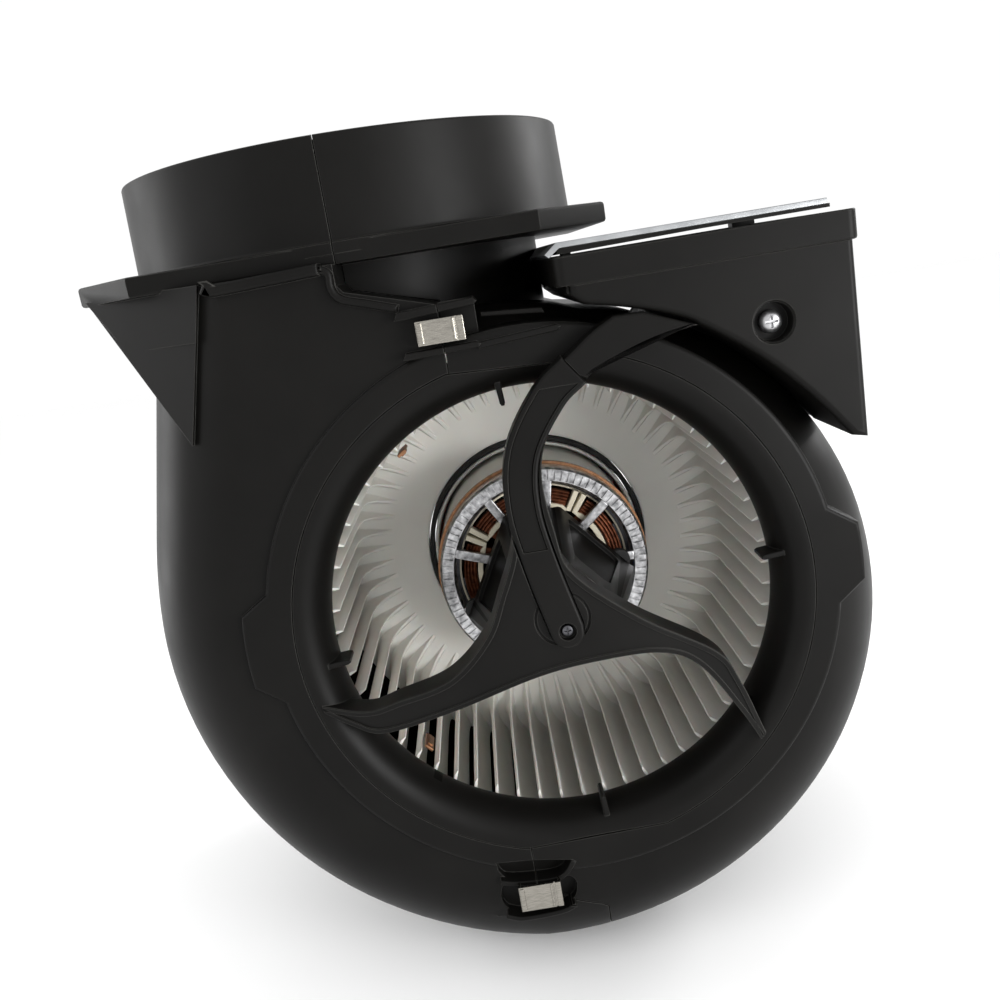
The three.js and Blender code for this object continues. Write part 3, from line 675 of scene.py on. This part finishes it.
def holder(name, inset, front, back):
    """Three-sided funnel from the hub back to the motor, its corners rounded and its top cut flat."""
    rings = []
    for y in (front, back):
        share = (y - HOLDER_FRONT) / (HOLDER_BACK - HOLDER_FRONT)
        ring = []
        for angle in range(0, 360, 3):
            x, z = polar(holder_radius(angle, share, inset), angle)
            ring.append((x, y, min(z, HOLDER_TOP - inset)))
        rings.append(ring)
    return loft(name, rings)


def holder_panel(side, shift):
    """Cutter for the rounded recess in one side of the motor holder, wider towards the motor."""
    facing, front, back = side
    rings = []
    for depth in (-RECESS_DEPTH, 4.0):
        ring = []
        for across, y in rounded_rectangle(-6, -81, 6, -47.6, 2.4):
            share = (y - HOLDER_FRONT) / (HOLDER_BACK - HOLDER_FRONT)
            ring.append((front + (back - front) * share + depth, y, across * (1 + share) + shift * share))
        rings.append(ring)
    return turned_about_fan(loft("panel", rings), facing)


def darken_panels(bracket):
    """Gives the floors of the holder's recesses a less shiny black plastic, as painted shade in the recesses.
    """
    bracket.data.materials.append(MATERIALS["shade"])
    for face in bracket.data.polygons:
        x, y, z = face.center / MM
        share = (y - HOLDER_FRONT) / (HOLDER_BACK - HOLDER_FRONT)
        for facing, front, back in HOLDER_SIDES[:2]:
            out_x, out_z = polar(1, facing)
            depth = front + (back - front) * share - (x - FAN_X) * out_x - (z - FAN_Z) * out_z
            if abs(depth - RECESS_DEPTH) < 0.3 and -82 < y < -47 and abs(face.normal.y) < 0.5:
                # Recess floors get the less shiny black: painted shade.
                face.material_index = 1


def front_bracket():
    shell = cut(holder("holder", 0, HOLDER_FRONT, HOLDER_BACK), holder("hollow", 2, -84, HOLDER_BACK + 1))
    shell = cut(shell, holder_panel(HOLDER_SIDES[0], -4), holder_panel(HOLDER_SIDES[1], 4))
    whole = join(inlet_ring("front_bracket"), arms(), shell)
    whole = join(whole, repeated(throat_fin(), 4, FIN_ANGLE))
    groove = tube("groove", GROOVE_RADIUS - 0.4, GROOVE_RADIUS + 0.4, -120, HUB_Y + 0.6, GROOVE_CENTRE, 64)
    seat = leaned(prism("seat", duct_outline(GAP), DUCT_Y - 5, DUCT_Y + DUCT_DEPTH + GAP))
    around_cover = inset_outline(np.array(cover_outline()), -GAP)
    cover_seat = leaned(prism("cover_seat", around_cover, DUCT_Y - 5, DUCT_Y + DUCT_DEPTH + GAP))
    hole = tube("hole", 0, SCREW_HOLE, -120, -84, HUB_CENTRE, 24)
    return cut(whole, groove, seat, cover_seat, hole)


# ---- Cable duct ----
def duct_outline(grow):
    """The cable duct's front outline: a strip along its centre line that ends in a round boss."""
    line = smooth([(2, 0), (-2.2, 18.5), (-4.8, 36), (-2.4, 51.7), (7, 65.4), (15.1, 71.7)], 6)
    left, right = ribbon(line, DUCT_HALF_WIDTH + grow)
    radius = DUCT_HALF_WIDTH + grow
    boss = [(HUB_CENTRE[0] + x, z) for x, z in (polar(radius, a) for a in range(195, 350, 12))]
    return left + boss + right


def leaned(made):
    """Leans a piece back with the duct's slope as it climbs from the hub."""
    shear = Matrix.Identity(4)
    shear[1][2] = DUCT_SLOPE
    shear[1][3] = -DUCT_SLOPE * FAN_Z * MM
    made.data.transform(shear)
    return made


def duct_stretch(bottom, top):
    """Everything between two heights, to keep a length of the duct."""
    return block("stretch", (-60, -130, bottom), (60, -60, top))


def cable_duct():
    body = leaned(prism("cable_duct", duct_outline(0), DUCT_Y, DUCT_Y + DUCT_DEPTH, round_front=0.9))
    channel = leaned(prism("channel", duct_outline(-1.5), DUCT_Y - 1, DUCT_Y + DUCT_DEPTH - 1.3))
    recess = lathe_at("recess", [(0, -120), (2.5, -120), (2.5, DUCT_Y + 1.8), (SCREW_HOLE, DUCT_Y + 1.8),
                                 (SCREW_HOLE, -80), (0, -80)], *HUB_CENTRE, 32)
    body = cut(body, keep(channel, duct_stretch(8, STRIP_TOP)), recess, lead_room())
    skin = leaned(prism("skin", duct_outline(-1.2), DUCT_Y, DUCT_Y + 1.7))
    return join(body, keep(skin, duct_stretch(7, STRIP_BOTTOM)))


def lead_room():
    """The hole where the motor lead comes into the duct."""
    return block("lead", (-3.4, DUCT_Y + 2, 7), (2.4, DUCT_Y + 5.6, 12.5))


def duct_strip():
    strip = prism("cable_duct_strip", duct_outline(-1.56), DUCT_Y + 0.6, DUCT_Y + 1.7, round_front=0.3)
    return keep(leaned(strip), duct_stretch(STRIP_BOTTOM + 0.06, STRIP_TOP - 0.06))


def cover_outline():
    upper = smooth([(9.9, 72.9), (16.2, 77.4), (21.5, 81.2), (27.8, 84.4)], 5)
    lower = smooth([(50.4, 78.2), (40, 76.6), (31.1, 74.2), (20.9, 70.6), (18.2, 68.7)], 5)
    return upper + [(36, 84.2)] + lower


def duct_cover():
    body = leaned(prism("cable_duct_cover", cover_outline(), DUCT_Y, DUCT_Y + DUCT_DEPTH, round_front=0.9))
    gap = leaned(prism("gap", duct_outline(GAP), DUCT_Y - 5, DUCT_Y + 20))
    around_box = inset_outline(np.array(box_outline(0)), -GAP)
    return cut(body, gap, prism("box_gap", around_box, BOX_FRONT - GAP, BOX_BACK))


def hub_screw():
    """A small pan-head screw sunk in the duct's boss, with a cross recess."""
    top = DUCT_Y + 0.7
    made = lathe_at("hub_screw", [(0, top), (1.0, top), (1.5, top + 0.2), (1.8, top + 0.7), (1.6, top + 1.0),
                                  (1.6, -86), (0, -86)], *HUB_CENTRE, 32)
    return cut(made, *cross_recess(HUB_CENTRE, 1.0, 0.18, top - 1, top + 0.5))


def cross_recess(centre, reach, half, y0, y1):
    """Cutters for the cross in a screw's head."""
    x, z = centre
    return [block("slot", (x - a, y0, z - b), (x + a, y1, z + b)) for a, b in ((reach, half), (half, reach))]


# ---- Terminal box ----
def box_outline(inset):
    """Front outline of the box: square above, hugging the scroll with a hollow curve below."""
    top = BOX_TOP + 10 if inset > 0 else BOX_TOP
    arc = smooth([(20.2, 88.7), (35.3, 84.9), (49.7, 79), (66.4, 66.9), (79.5, 54), (90.4, 40.4)], 6)
    points = [(17 + inset, top), (17 + inset, 91.5 + inset)] + [(x + 0.6 * inset, z + inset) for x, z in arc]
    return points + [(94.8 - inset, 39.4 + 1.5 * inset), (94.8 - inset, top)]


def clear_of_scroll(distance):
    scroll = casing_body("clear", right_outline(), distance)
    return join(scroll, neck(NECK_RADIUS + distance, -90, 20))


def box_rim():
    """Thicker band round the open top, its corners rounded."""
    outline = rounded_rectangle(13.3 + FAN_X, BOX_FRONT - 0.8, 96.3 + FAN_X, BOX_BACK + 0.8, 3.0)
    low, high = BOX_RIM_BOTTOM + FAN_Z, BOX_TOP + FAN_Z
    r = 0.7
    layers = [(low, r), (low + 0.3 * r, 0.3 * r), (low + r, 0), (high - 0.3, 0), (high, 0.25)]
    return layered("rim", outline, layers, upright=True)


def box_posts():
    """Posts under the lid's ends."""
    top = LID_BOTTOM - GAP
    left = [block("post", (16.5, y, 92), (19, y + 6, top)) for y in (BOX_FRONT + 3, BOX_BACK - 9)]
    return left + [block("post", (86, BOX_BACK - 9, 70), (94, BOX_BACK - 3, top))]


def terminal_box():
    hollow = prism("hollow", box_outline(BOX_WALL), BOX_FRONT + BOX_WALL, BOX_BACK - BOX_WALL)
    cavity = cut(hollow, clear_of_scroll(3))
    skin = join(prism("terminal_box", box_outline(0), BOX_FRONT, BOX_BACK, 1.9, 1.0, 4), box_rim())
    front = BOX_FRONT
    boss = tube("boss", 0, 8, front + 0.4, front + 9, BOX_SCREW, 48)
    recess = lathe_at("recess", [(0, front - 1), (6.6, front - 1), (6.0, front + 0.1), (5.5, front + 0.6),
                                 (5.2, front + 5), (0, front + 5)], *BOX_SCREW, 64)
    hole = tube("hole", 0, SCREW_HOLE, front - 1, front + 20, BOX_SCREW, 48)
    lid_room = block("lid", (10, front - 2, LID_BOTTOM - GAP), (88.9, BOX_BACK + 2, LID_BOTTOM + 10))
    shell = join(cut(skin, cavity), boss, *box_posts())
    return cut(shell, clear_of_scroll(0.6), recess, hole, lid_room)


def box_lid():
    """Galvanised sheet lid with its left edge folded down, over a thin black sheet that is painted shade for
    the dark gap under the lid.
    """
    z, t = LID_BOTTOM, LID_THICKNESS
    fold = [(11.6, z - 1.2), (12.8, z - 2.2), (16, z), (88.6, z), (88.6, z + t), (15.2, z + t)]
    lid = prism("box_lid", fold, BOX_FRONT + 0.6, BOX_BACK - 0.6, 0.25, 0.25)
    # The black sheet under the lid is painted shade: it stands for the shadowed gap between the lid and the
    # rim.
    under = [(14.9, z - 1.6), (54, z - 1.0), (89.4, z - 0.9), (89.4, z + 0.1), (15.8, z + 0.1)]
    sheet = prism("sheet", under, BOX_FRONT + 1.2, BOX_BACK - 1.2)
    return cut(join(lid, sheet), neck(NECK_RADIUS + 0.6, -90, 20))


def paint_shade_under_lid(lid):
    """Gives the sheet under the lid black plastic: painted shade for the dark gap under the lid."""
    lid.data.materials.append(MATERIALS["strip"])
    for face in lid.data.polygons:
        x, y, z = face.center / MM
        # Faces of the sheet under the lid get black plastic as painted shade.
        face.material_index = int(x > FAN_X + 14.5 and z < FAN_Z + LID_BOTTOM - 0.02)


def box_screw():
    """Self-tapping screw with a raised head and a cross recess, deep in its round hole."""
    top = BOX_FRONT + 2.2
    made = lathe_at("box_screw", [
        (0, top), (1.4, top + 0.1), (2.6, top + 0.6), (3.2, top + 1.4), (3.2, top + 2.4),
        (1.5, top + 2.5), (1.5, top + 13), (0, top + 14),
    ], *BOX_SCREW)
    return cut(made, *cross_recess(BOX_SCREW, 1.8, 0.35, top - 1, top + 1.2))


# ---- Clips ----
def spring_clip(name, centre, z0, z1):
    """Folded spring-steel clip: a flat face, a folded left edge and a split right edge."""
    left, right = centre - 6.7, centre + 6.7
    front = -FACE_Y - 3.6
    face = block(name, (left, front, z0), (right, front + 0.8, z1), 0.22)
    legs = [block("leg", (x, front, z0), (x + 0.8, -FACE_Y - GAP, z1), 0.2) for x in (left, right - 0.8)]
    fold = block("fold", (left + 0.2, front - 0.35, z0 + 0.4), (left + 1.8, front + 0.3, z1 - 0.4), 0.3)
    step = block("fold", (right - 3.4, front - 0.3, z0 + 0.3), (right - 2.6, front + 0.3, z1 - 0.3), 0.28)
    slit = block("slit", (right - 2.3, front - 1, z0 - 1), (right - 1.7, front + 0.5, z1 + 1))
    return cut(join(face, *legs, fold, step), slit)


# ---- Fan wheel ----
def blade():
    """A curved blade that thickens and runs inwards as a soft flute on the disc."""
    rings = []
    for y, swell, reach in ((-0.8, 1.5, 13.0), (-2.7, 1.45, 12.0), (-3.8, 0.85, 8.0), (-5.5, 0.45, 4.5),
                            (-9, 0.15, 1.6), (-15, 0, 0.4), (-69, -0.05, 0)):
        front, back = [], []
        for i in range(9):
            radius = BLADE_INNER - reach + (BLADE_OUTER - BLADE_INNER + reach) * i / 8
            along = (radius - BLADE_INNER) / (BLADE_OUTER - BLADE_INNER)
            angle = 7 * max(along, 0) ** 2 + 1.6 * min(along, 0)
            taper = 0.35 + 0.65 * min(1, i / 8 * (reach + 13) / (reach + 1))
            half = math.degrees((0.52 + swell) * taper / radius)
            front.append(polar(radius, angle + half))
            back.append(polar(radius, angle - half))
        rings.append([(x, y, z) for x, z in front + back[::-1]])
    return loft("blade", rings)


def wheel_half(name):
    """Disc, blades and end ring of one half of the wheel."""
    disc = lathe(name, [(WEB_HOLE, -GAP / 2), (BLADE_OUTER + 0.6, -GAP / 2), (BLADE_OUTER + 0.6, -2.2),
                        (70, -2.6), (56, -2.5), (46, -3.0), (WEB_HOLE + 1.2, -3.6), (WEB_HOLE, -3.2)], 180)
    ring = lathe("end_ring", [(76.6, -67.2), (79.5, -67.2), (79.5, -69.6), (79.2, -70), (76.9, -70),
                              (76.6, -69.7)], 180)
    return join(disc, repeated(blade(), BLADES), ring)


def hub_cup():
    inner = CUP_RADIUS - 1.4
    return lathe("wheel_hub_cup", [
        (4.3, 20), (9, 20), (9, 22.5), (inner - 2.5, 22.5), (inner - 0.7, 21.8), (inner, 20),
        (inner, -3.6), (inner + 0.5, -4.4), (CUP_RADIUS - 0.3, -4.5), (CUP_RADIUS, -4.1),
        (CUP_RADIUS, 22.5), (CUP_RADIUS - 0.9, 24.3), (CUP_RADIUS - 2.6, 25), (9, 25), (9, 34), (4.3, 34),
    ], 128)


def damper_ring():
    a, b = CUP_RADIUS + GAP, WEB_HOLE - GAP
    return lathe("wheel_damper_ring", [
        (a, 3), (b, 3), (b, -4.6), (b - 0.5, -5.2), (a + 0.5, -5.2), (a, -4.6),
    ], 128)


def balance_clip(name, degrees, y0):
    """A folded strip of spring steel pushed on a blade's inner edge."""
    back = block(name, (64.2, y0, -1.6), (65.3, y0 + 9, 1.6), 0.3)
    tab = block("tab", (63.7, y0 + 1.5, -0.9), (64.5, y0 + 7.5, 0.9), 0.25)
    return turned_about_fan(join(back, tab), degrees)


# ---- Motor ----
def mirror_in_place(made):
    made.data.transform(Matrix.Scale(-1, 4, (0, 1, 0)))
    face_outwards(made)
    return made


def end_shield(name, side):
    """Cast ring with fine radial ribs, nine spokes and a bearing seat; side is -1 at the front."""
    core = -STATOR_FRONT if side < 0 else STATOR_BACK
    near = -(core + GAP)
    ring = lathe(name, [(30.2, near), (30.2, near - 5.9), (31, near - 6.7), (34.9, near - 6.7),
                        (35.6, near - 6), (35.6, near)], 128)
    notches = repeated(block("notch", (31.4, near - 8, -0.3), (34.7, near - 6.1, 0.3)), RING_RIBS)
    seat = lathe("seat", [
        (9, near - 4.2), (9, near - 10.5), (11, near - 10.5), (11.4, near - 10), (11.4, near - 4.2),
    ])
    spokes = repeated(block("spoke", (10.6, near - 6.7, -1.6), (31, near - 4.2, 1.6), 0.5), SPOKES)
    whole = join(cut(ring, notches), seat, spokes)
    return whole if side < 0 else mirror_in_place(whole)


def stator_core():
    """Laminated core in its sleeve: a lipped ring with four wide teeth that carry the coils."""
    core = lathe("stator_core", [
        (28.4, STATOR_FRONT), (STATOR_RADIUS - 0.1, STATOR_FRONT), (STATOR_LIP, STATOR_FRONT),
        (STATOR_LIP, STATOR_FRONT + 1.4), (STATOR_RADIUS, STATOR_FRONT + 1.5),
        (STATOR_RADIUS, STATOR_BACK), (28.4, STATOR_BACK),
    ], 128)
    tooth = join(block("tooth", (15, STATOR_FRONT, -5), (29, STATOR_BACK, 5)),
                 block("shoe", (14, STATOR_FRONT, -9), (16.6, STATOR_BACK, 9)))
    core = join(core, repeated(tooth, POLES, POLE_ANGLE))
    return cut(core, tube("bore", 0, STATOR_BORE, STATOR_FRONT - 1, STATOR_BACK + 1))


def dress_sleeve(core):
    """Gives the stator's pale outer sleeve and its bronze lip their own materials."""
    core.data.materials.append(MATERIALS["wheel"])
    core.data.materials.append(MATERIALS["bronze"])
    for face in core.data.polygons:
        x, y, z = face.center / MM
        radius = math.hypot(x - FAN_X, z - FAN_Z)
        if radius > STATOR_RADIUS - 0.3:
            face.material_index = 2 if y < STATOR_FRONT + 1.5 else 1


def end_turns(y):
    """The wires of one winding where they cross over outside the core, wound in an arc."""
    away = -1 if y < 0 else 1
    section = [(23.2, y - away * 2.4), (27.6, y - away * 2.4)]
    for i in range(17):
        section.append((27.6 - 4.4 * i / 16, y + away * 0.35 * abs(math.sin(math.pi * i / 4))))
    rings = []
    for degrees in range(-38, 39, 4):
        rings.append([(*polar(r, degrees), h) for r, h in section])
    return loft("end_turns", [[(x, h, z) for x, z, h in ring] for ring in rings])


def coil(index):
    """Copper winding of one pole: two legs beside the tooth and the crossings at both ends."""
    front, back = STATOR_FRONT - 3.3, STATOR_BACK + 3.3
    legs = []
    for degrees in (-33, 33):
        leg = block("leg", (18.5, front + 0.2, -2.5), (27.3, back - 0.2, 2.5), 0.9)
        legs.append(turned_about_fan(leg, degrees))
    made = join(end_turns(front), end_turns(back), *legs)
    made.name = f"copper_coil_{index + 1}"
    return turned_about_fan(made, POLE_ANGLE + index * 360 / POLES)


def slot_insulator():
    """Cream bobbin walls: a ring, and an open U round each winding's end."""
    near = STATOR_FRONT - GAP
    ring = tube("slot_insulator", 28.4, 29.0, near - 1.2, near, segments=128)
    path = [polar(28.8, -42)] + [polar(21.8, a) for a in range(-42, 43, 6)] + [polar(28.8, 42)]
    left, right = ribbon(path, 0.9)
    return join(ring, repeated(prism("bobbin", left + right, near - 3.9, near, 0.3), POLES, POLE_ANGLE))


# ---- Materials ----
class Nodes:
    """A material's node tree, with short calls for what the materials here share."""

    def __init__(self, name):
        self.material = bpy.data.materials.new(name)
        self.material.use_nodes = True
        self.tree = self.material.node_tree
        self.tree.nodes.clear()
        self.shader = self.add("ShaderNodeBsdfPrincipled")
        output = self.add("ShaderNodeOutputMaterial")
        self.link(self.shader.outputs[0], output.inputs[0])
        self.place = self.add("ShaderNodeTexCoord").outputs["Object"]

    def add(self, kind, **values):
        node = self.tree.nodes.new(kind)
        for key, value in values.items():
            setattr(node, key, value)
        return node

    def link(self, a, b):
        self.tree.links.new(a, b)

    def noise(self, per_mm, detail=3.0, stretch=None):
        """Noise with features of about 1 / per_mm millimetres."""
        node = self.add("ShaderNodeTexNoise")
        node.inputs["Scale"].default_value = 1000 * per_mm
        node.inputs["Detail"].default_value = detail
        source = self.place
        if stretch:
            mapping = self.add("ShaderNodeMapping")
            mapping.inputs["Scale"].default_value = stretch
            self.link(source, mapping.inputs["Vector"])
            source = mapping.outputs[0]
        self.link(source, node.inputs["Vector"])
        return node.outputs["Fac"]

    def ramp(self, source, stops):
        node = self.add("ShaderNodeValToRGB")
        while len(node.color_ramp.elements) < len(stops):
            node.color_ramp.elements.new(0.5)
        for element, (at, colour) in zip(node.color_ramp.elements, stops):
            element.position = at
            element.color = (*colour, 1) if len(colour) == 3 else colour
        self.link(source, node.inputs["Fac"])
        return node.outputs["Color"]

    def span(self, source, low, high):
        node = self.add("ShaderNodeMapRange")
        node.inputs["To Min"].default_value = low
        node.inputs["To Max"].default_value = high
        self.link(source, node.inputs["Value"])
        return node.outputs["Result"]

    def bump(self, source, strength, distance_mm):
        node = self.add("ShaderNodeBump")
        node.inputs["Strength"].default_value = strength
        node.inputs["Distance"].default_value = distance_mm * MM
        self.link(source, node.inputs["Height"])
        previous = self.shader.inputs["Normal"].links
        if previous:
            self.link(previous[0].from_socket, node.inputs["Normal"])
        self.link(node.outputs[0], self.shader.inputs["Normal"])

    def soften(self, radius_mm):
        """Rounds hard edges by radius_mm and returns the rounded normal."""
        node = self.add("ShaderNodeBevel", samples=4)
        node.inputs["Radius"].default_value = radius_mm * MM
        self.link(node.outputs[0], self.shader.inputs["Normal"])
        return node.outputs[0]

    def edges(self, rounded):
        """Mask that is 1 where the rounded normal leaves the surface's own normal."""
        same = self.add("ShaderNodeVectorMath", operation="DOT_PRODUCT")
        self.link(rounded, same.inputs[0])
        self.link(self.add("ShaderNodeNewGeometry").outputs["Normal"], same.inputs[1])
        return self.ramp(same.outputs["Value"], [(0.86, (1, 1, 1)), (0.985, (0, 0, 0))])

    def set(self, values):
        for key, value in values.items():
            self.shader.inputs[key].default_value = value

    def colour(self, source):
        self.link(source, self.shader.inputs["Base Color"])

    def roughness(self, source):
        self.link(source, self.shader.inputs["Roughness"])


def plastic(name, dark, light, rough, edge):
    """Moulded plastic: fine grain, slow gloss changes and paler edges that are partly wear and partly a
    painted highlight.
    """
    n = Nodes(name)
    rounded = n.soften(0.35)
    mottle = n.noise(0.03, 4)
    base = n.ramp(mottle, [(0.3, dark), (0.7, light)])
    mix = n.add("ShaderNodeMix", data_type="RGBA")
    n.link(n.edges(rounded), mix.inputs["Factor"])
    n.link(base, mix.inputs["A"])
    # Hard edges take the paler edge colour: partly wear, partly a painted highlight along the edges.
    mix.inputs["B"].default_value = (*edge, 1)
    n.colour(mix.outputs["Result"])
    n.roughness(n.span(n.noise(0.08, 5), rough - 0.06, rough + 0.08))
    n.bump(n.noise(4.0, 2), 0.12, 0.05)
    n.bump(n.noise(0.35, 2), 0.05, 0.15)
    return n


def black_plastic(name="black_plastic", shine=0.1):
    # The last colour is the paler edge: partly wear, partly a painted highlight.
    n = plastic(name, (0.0034, 0.0032, 0.0029), (0.0054, 0.0051, 0.0046), 0.4, (0.05, 0.049, 0.045))
    n.set({"Specular IOR Level": shine})
    return n.material


def wheel_plastic():
    # The last colour is the paler edge: partly wear, partly a painted highlight.
    n = plastic("wheel_plastic", (0.72, 0.705, 0.66), (0.80, 0.785, 0.74), 0.5, (0.84, 0.83, 0.79))
    n.set({"Subsurface Weight": 0.12, "Subsurface Scale": 0.003})
    return n.material


def rubber():
    n = Nodes("rubber")
    n.colour(n.ramp(n.noise(0.3), [(0.3, (0.008, 0.008, 0.008)), (0.7, (0.02, 0.02, 0.02))]))
    n.roughness(n.span(n.noise(0.5), 0.7, 0.9))
    n.bump(n.noise(2.0), 0.2, 0.1)
    return n.material


def metal(name, dark, light, rough, grain=(1, 1, 1), per_mm=0.5, edge_mm=0.15):
    n = Nodes(name)
    n.soften(edge_mm)
    n.set({"Metallic": 1.0})
    n.colour(n.ramp(n.noise(per_mm, 4, grain), [(0.3, dark), (0.7, light)]))
    n.roughness(n.span(n.noise(per_mm * 2, 4, grain), rough - 0.07, rough + 0.1))
    n.bump(n.noise(per_mm * 3, 3, grain), 0.08, 0.05)
    return n.material


def copper():
    n = Nodes("copper")
    n.set({"Metallic": 0.85})
    n.colour(n.ramp(n.noise(0.6), [(0.3, (0.05, 0.016, 0.009)), (0.7, (0.2, 0.065, 0.03))]))
    n.roughness(n.span(n.noise(0.8), 0.28, 0.45))
    return n.material


MATERIALS = {
    "casing": black_plastic(),
    "wheel": wheel_plastic(),
    "rubber": rubber(),
    "zinc": metal("zinc", (0.3, 0.31, 0.32), (0.4, 0.41, 0.42), 0.3, per_mm=0.12),
    "nickel": metal("nickel", (0.24, 0.227, 0.2), (0.37, 0.35, 0.31), 0.24, (1, 1, 8)),
    "steel": metal("steel", (0.38, 0.38, 0.39), (0.55, 0.55, 0.56), 0.35),
    "cast": metal("cast", (0.14, 0.14, 0.145), (0.7, 0.7, 0.71), 0.3, per_mm=0.5),
    "copper": copper(),
    "strip": black_plastic(),
    # Less shiny black for the holder's recess floors: painted shade.
    "shade": black_plastic("painted_shade_black_plastic", 0.02),
    "blued": metal("blued_steel", (0.06, 0.06, 0.065), (0.12, 0.12, 0.13), 0.45),
    "bronze": metal("bronze", (0.2, 0.1, 0.05), (0.34, 0.18, 0.1), 0.4, per_mm=0.8),
    # The last colour is the paler edge: partly wear, partly a painted highlight.
    "cream": plastic("cream", (0.66, 0.6, 0.45), (0.76, 0.7, 0.55), 0.5, (0.8, 0.76, 0.64)).material,
}


def dress_cad_nodes():
    """Every CAD node that stays in view gets its slot's procedural material."""
    slots = {s["node"]: s["material_slot"] for s in frame["record"]["subparts"]}
    for name, node in frame["nodes"].items():
        node.data.materials.clear()
        node.data.materials.append(MATERIALS[slots[name]])


# ---- Floor, light and camera ----
def floor():
    size = 3000.0
    corners = [(-size, -size, FLOOR_Z), (size, -size, FLOOR_Z), (size, size, FLOOR_Z), (-size, size, FLOOR_Z)]
    made = new_object("floor", corners, [(0, 1, 2, 3)], False)
    n = Nodes("pale_floor")
    n.colour(n.ramp(n.noise(0.002), [(0.3, (0.97, 0.97, 0.97)), (0.7, (0.99, 0.99, 0.99))]))
    n.set({"Roughness": 0.9})
    made.data.materials.append(n.material)


def area_light(name, place, target, size, power):
    data = bpy.data.lights.new(name, "AREA")
    data.shape = "RECTANGLE"
    data.size, data.size_y = size
    data.energy = power
    lamp = bpy.data.objects.new(name, data)
    bpy.context.scene.collection.objects.link(lamp)
    lamp.location = place
    direction = Vector(target) - Vector(place)
    lamp.rotation_euler = direction.to_track_quat("-Z", "Y").to_euler()


def studio():
    world = bpy.data.worlds.new("studio")
    bpy.context.scene.world = world
    bpy.context.scene.view_settings.view_transform = "Standard"
    world.use_nodes = True
    world.node_tree.nodes["Background"].inputs[0].default_value = (1, 1, 1, 1)
    world.node_tree.nodes["Background"].inputs[1].default_value = 1.02
    middle = (0.035, 0, -0.1)
    wheel = (FAN_X * MM, 0, FAN_Z * MM)
    area_light("key", (-1.0, -0.55, 0.35), middle, (0.6, 0.9), 2)
    area_light("right", (0.95, -0.75, -0.02), middle, (0.4, 0.6), 10)
    area_light("left_rim", (-0.9, 0.25, 0.05), middle, (0.4, 0.9), 4)
    area_light("right_rim", (0.8, 0.35, 0.2), (0, 0, 0.01), (0.3, 0.3), 3)
    area_light("wheel", (0.62, -0.85, -0.2), wheel, (0.3, 0.3), 4.5)


def camera():
    data = bpy.data.cameras.new("camera")
    data.lens = 36.34
    data.sensor_width = 36
    data.clip_start = 0.01
    data.clip_end = 20
    made = bpy.data.objects.new("camera", data)
    bpy.context.scene.collection.objects.link(made)
    right = Vector((0.98654, -0.03160, -0.16042))
    down = Vector((-0.16340, -0.22419, -0.96075))
    forward = Vector((-0.00560, 0.97403, -0.22633))
    turn = Matrix((right, -down, -forward)).transposed().to_4x4()
    made.matrix_world = Matrix.Translation((0.036757, -0.36968, -0.012738)) @ turn
    bpy.context.scene.camera = made


# ---- Build ----
dress_cad_nodes()
floor()
studio()
camera()
fixed(casing_left(), "casing", "casing", "casing_left_shell")
fixed(casing_right(), "casing", "casing", "casing_right_shell")
darken_panels(fixed(front_bracket(), "casing", "casing", "front_motor_bracket"))
fixed(mirror_in_place(inlet_ring("rear_ring")), "casing", "casing", "rear_inlet_ring")
fixed(cable_duct(), "casing", "casing", "cable_duct")
fixed(duct_strip(), "casing", "strip", "cable_duct_strip")
fixed(duct_cover(), "casing", "casing", "cable_duct_cover")
fixed(hub_screw(), "steel", "blued", "hub_screw")
fixed(terminal_box(), "casing", "casing", "terminal_box")
paint_shade_under_lid(fixed(box_lid(), "zinc", "zinc", "terminal_box_lid"))
fixed(box_screw(), "steel", "steel", "terminal_box_screw")

for place, centre, z0, z1 in (("top", SPLIT_X, 84.4, 91.2), ("bottom", SPLIT_X + 0.8, -94.9, -86.3)):
    front_clip = spring_clip(f"{place}_clip_front", centre, z0, z1)
    rear_clip = mirrored(front_clip, f"{place}_clip_rear")
    fixed(front_clip, "nickel", "nickel", f"{place}_front_clip")
    fixed(rear_clip, "nickel", "nickel", f"{place}_rear_clip")

front_half = wheel_half("wheel_front")
rear_half = mirrored(front_half, "wheel_rear")
spinning(front_half, "wheel", "wheel", "wheel_front_half", smooth_angle=50)
spinning(rear_half, "wheel", "wheel", "wheel_rear_half", smooth_angle=50)
spinning(hub_cup(), "wheel", "wheel", "wheel_hub_cup")
spinning(damper_ring(), "rubber", "rubber", "wheel_damper_ring")
for i, degrees in enumerate((126, -136.5)):
    piece = balance_clip(f"balance_weight_{i + 1}", degrees, -68)
    spinning(piece, "nickel", "bronze", f"balance_clip_{i + 1}")

dress_sleeve(fixed(stator_core(), "steel", "blued", "stator_core"))
fixed(end_shield("front_shield", -1), "cast", "cast", "motor_front_shield")
fixed(end_shield("rear_shield", 1), "cast", "cast", "motor_rear_shield")
fixed(slot_insulator(), "cream", "cream", "slot_insulator")
for i in range(POLES):
    fixed(coil(i), "copper", "copper", f"stator_coil_{i + 1}")
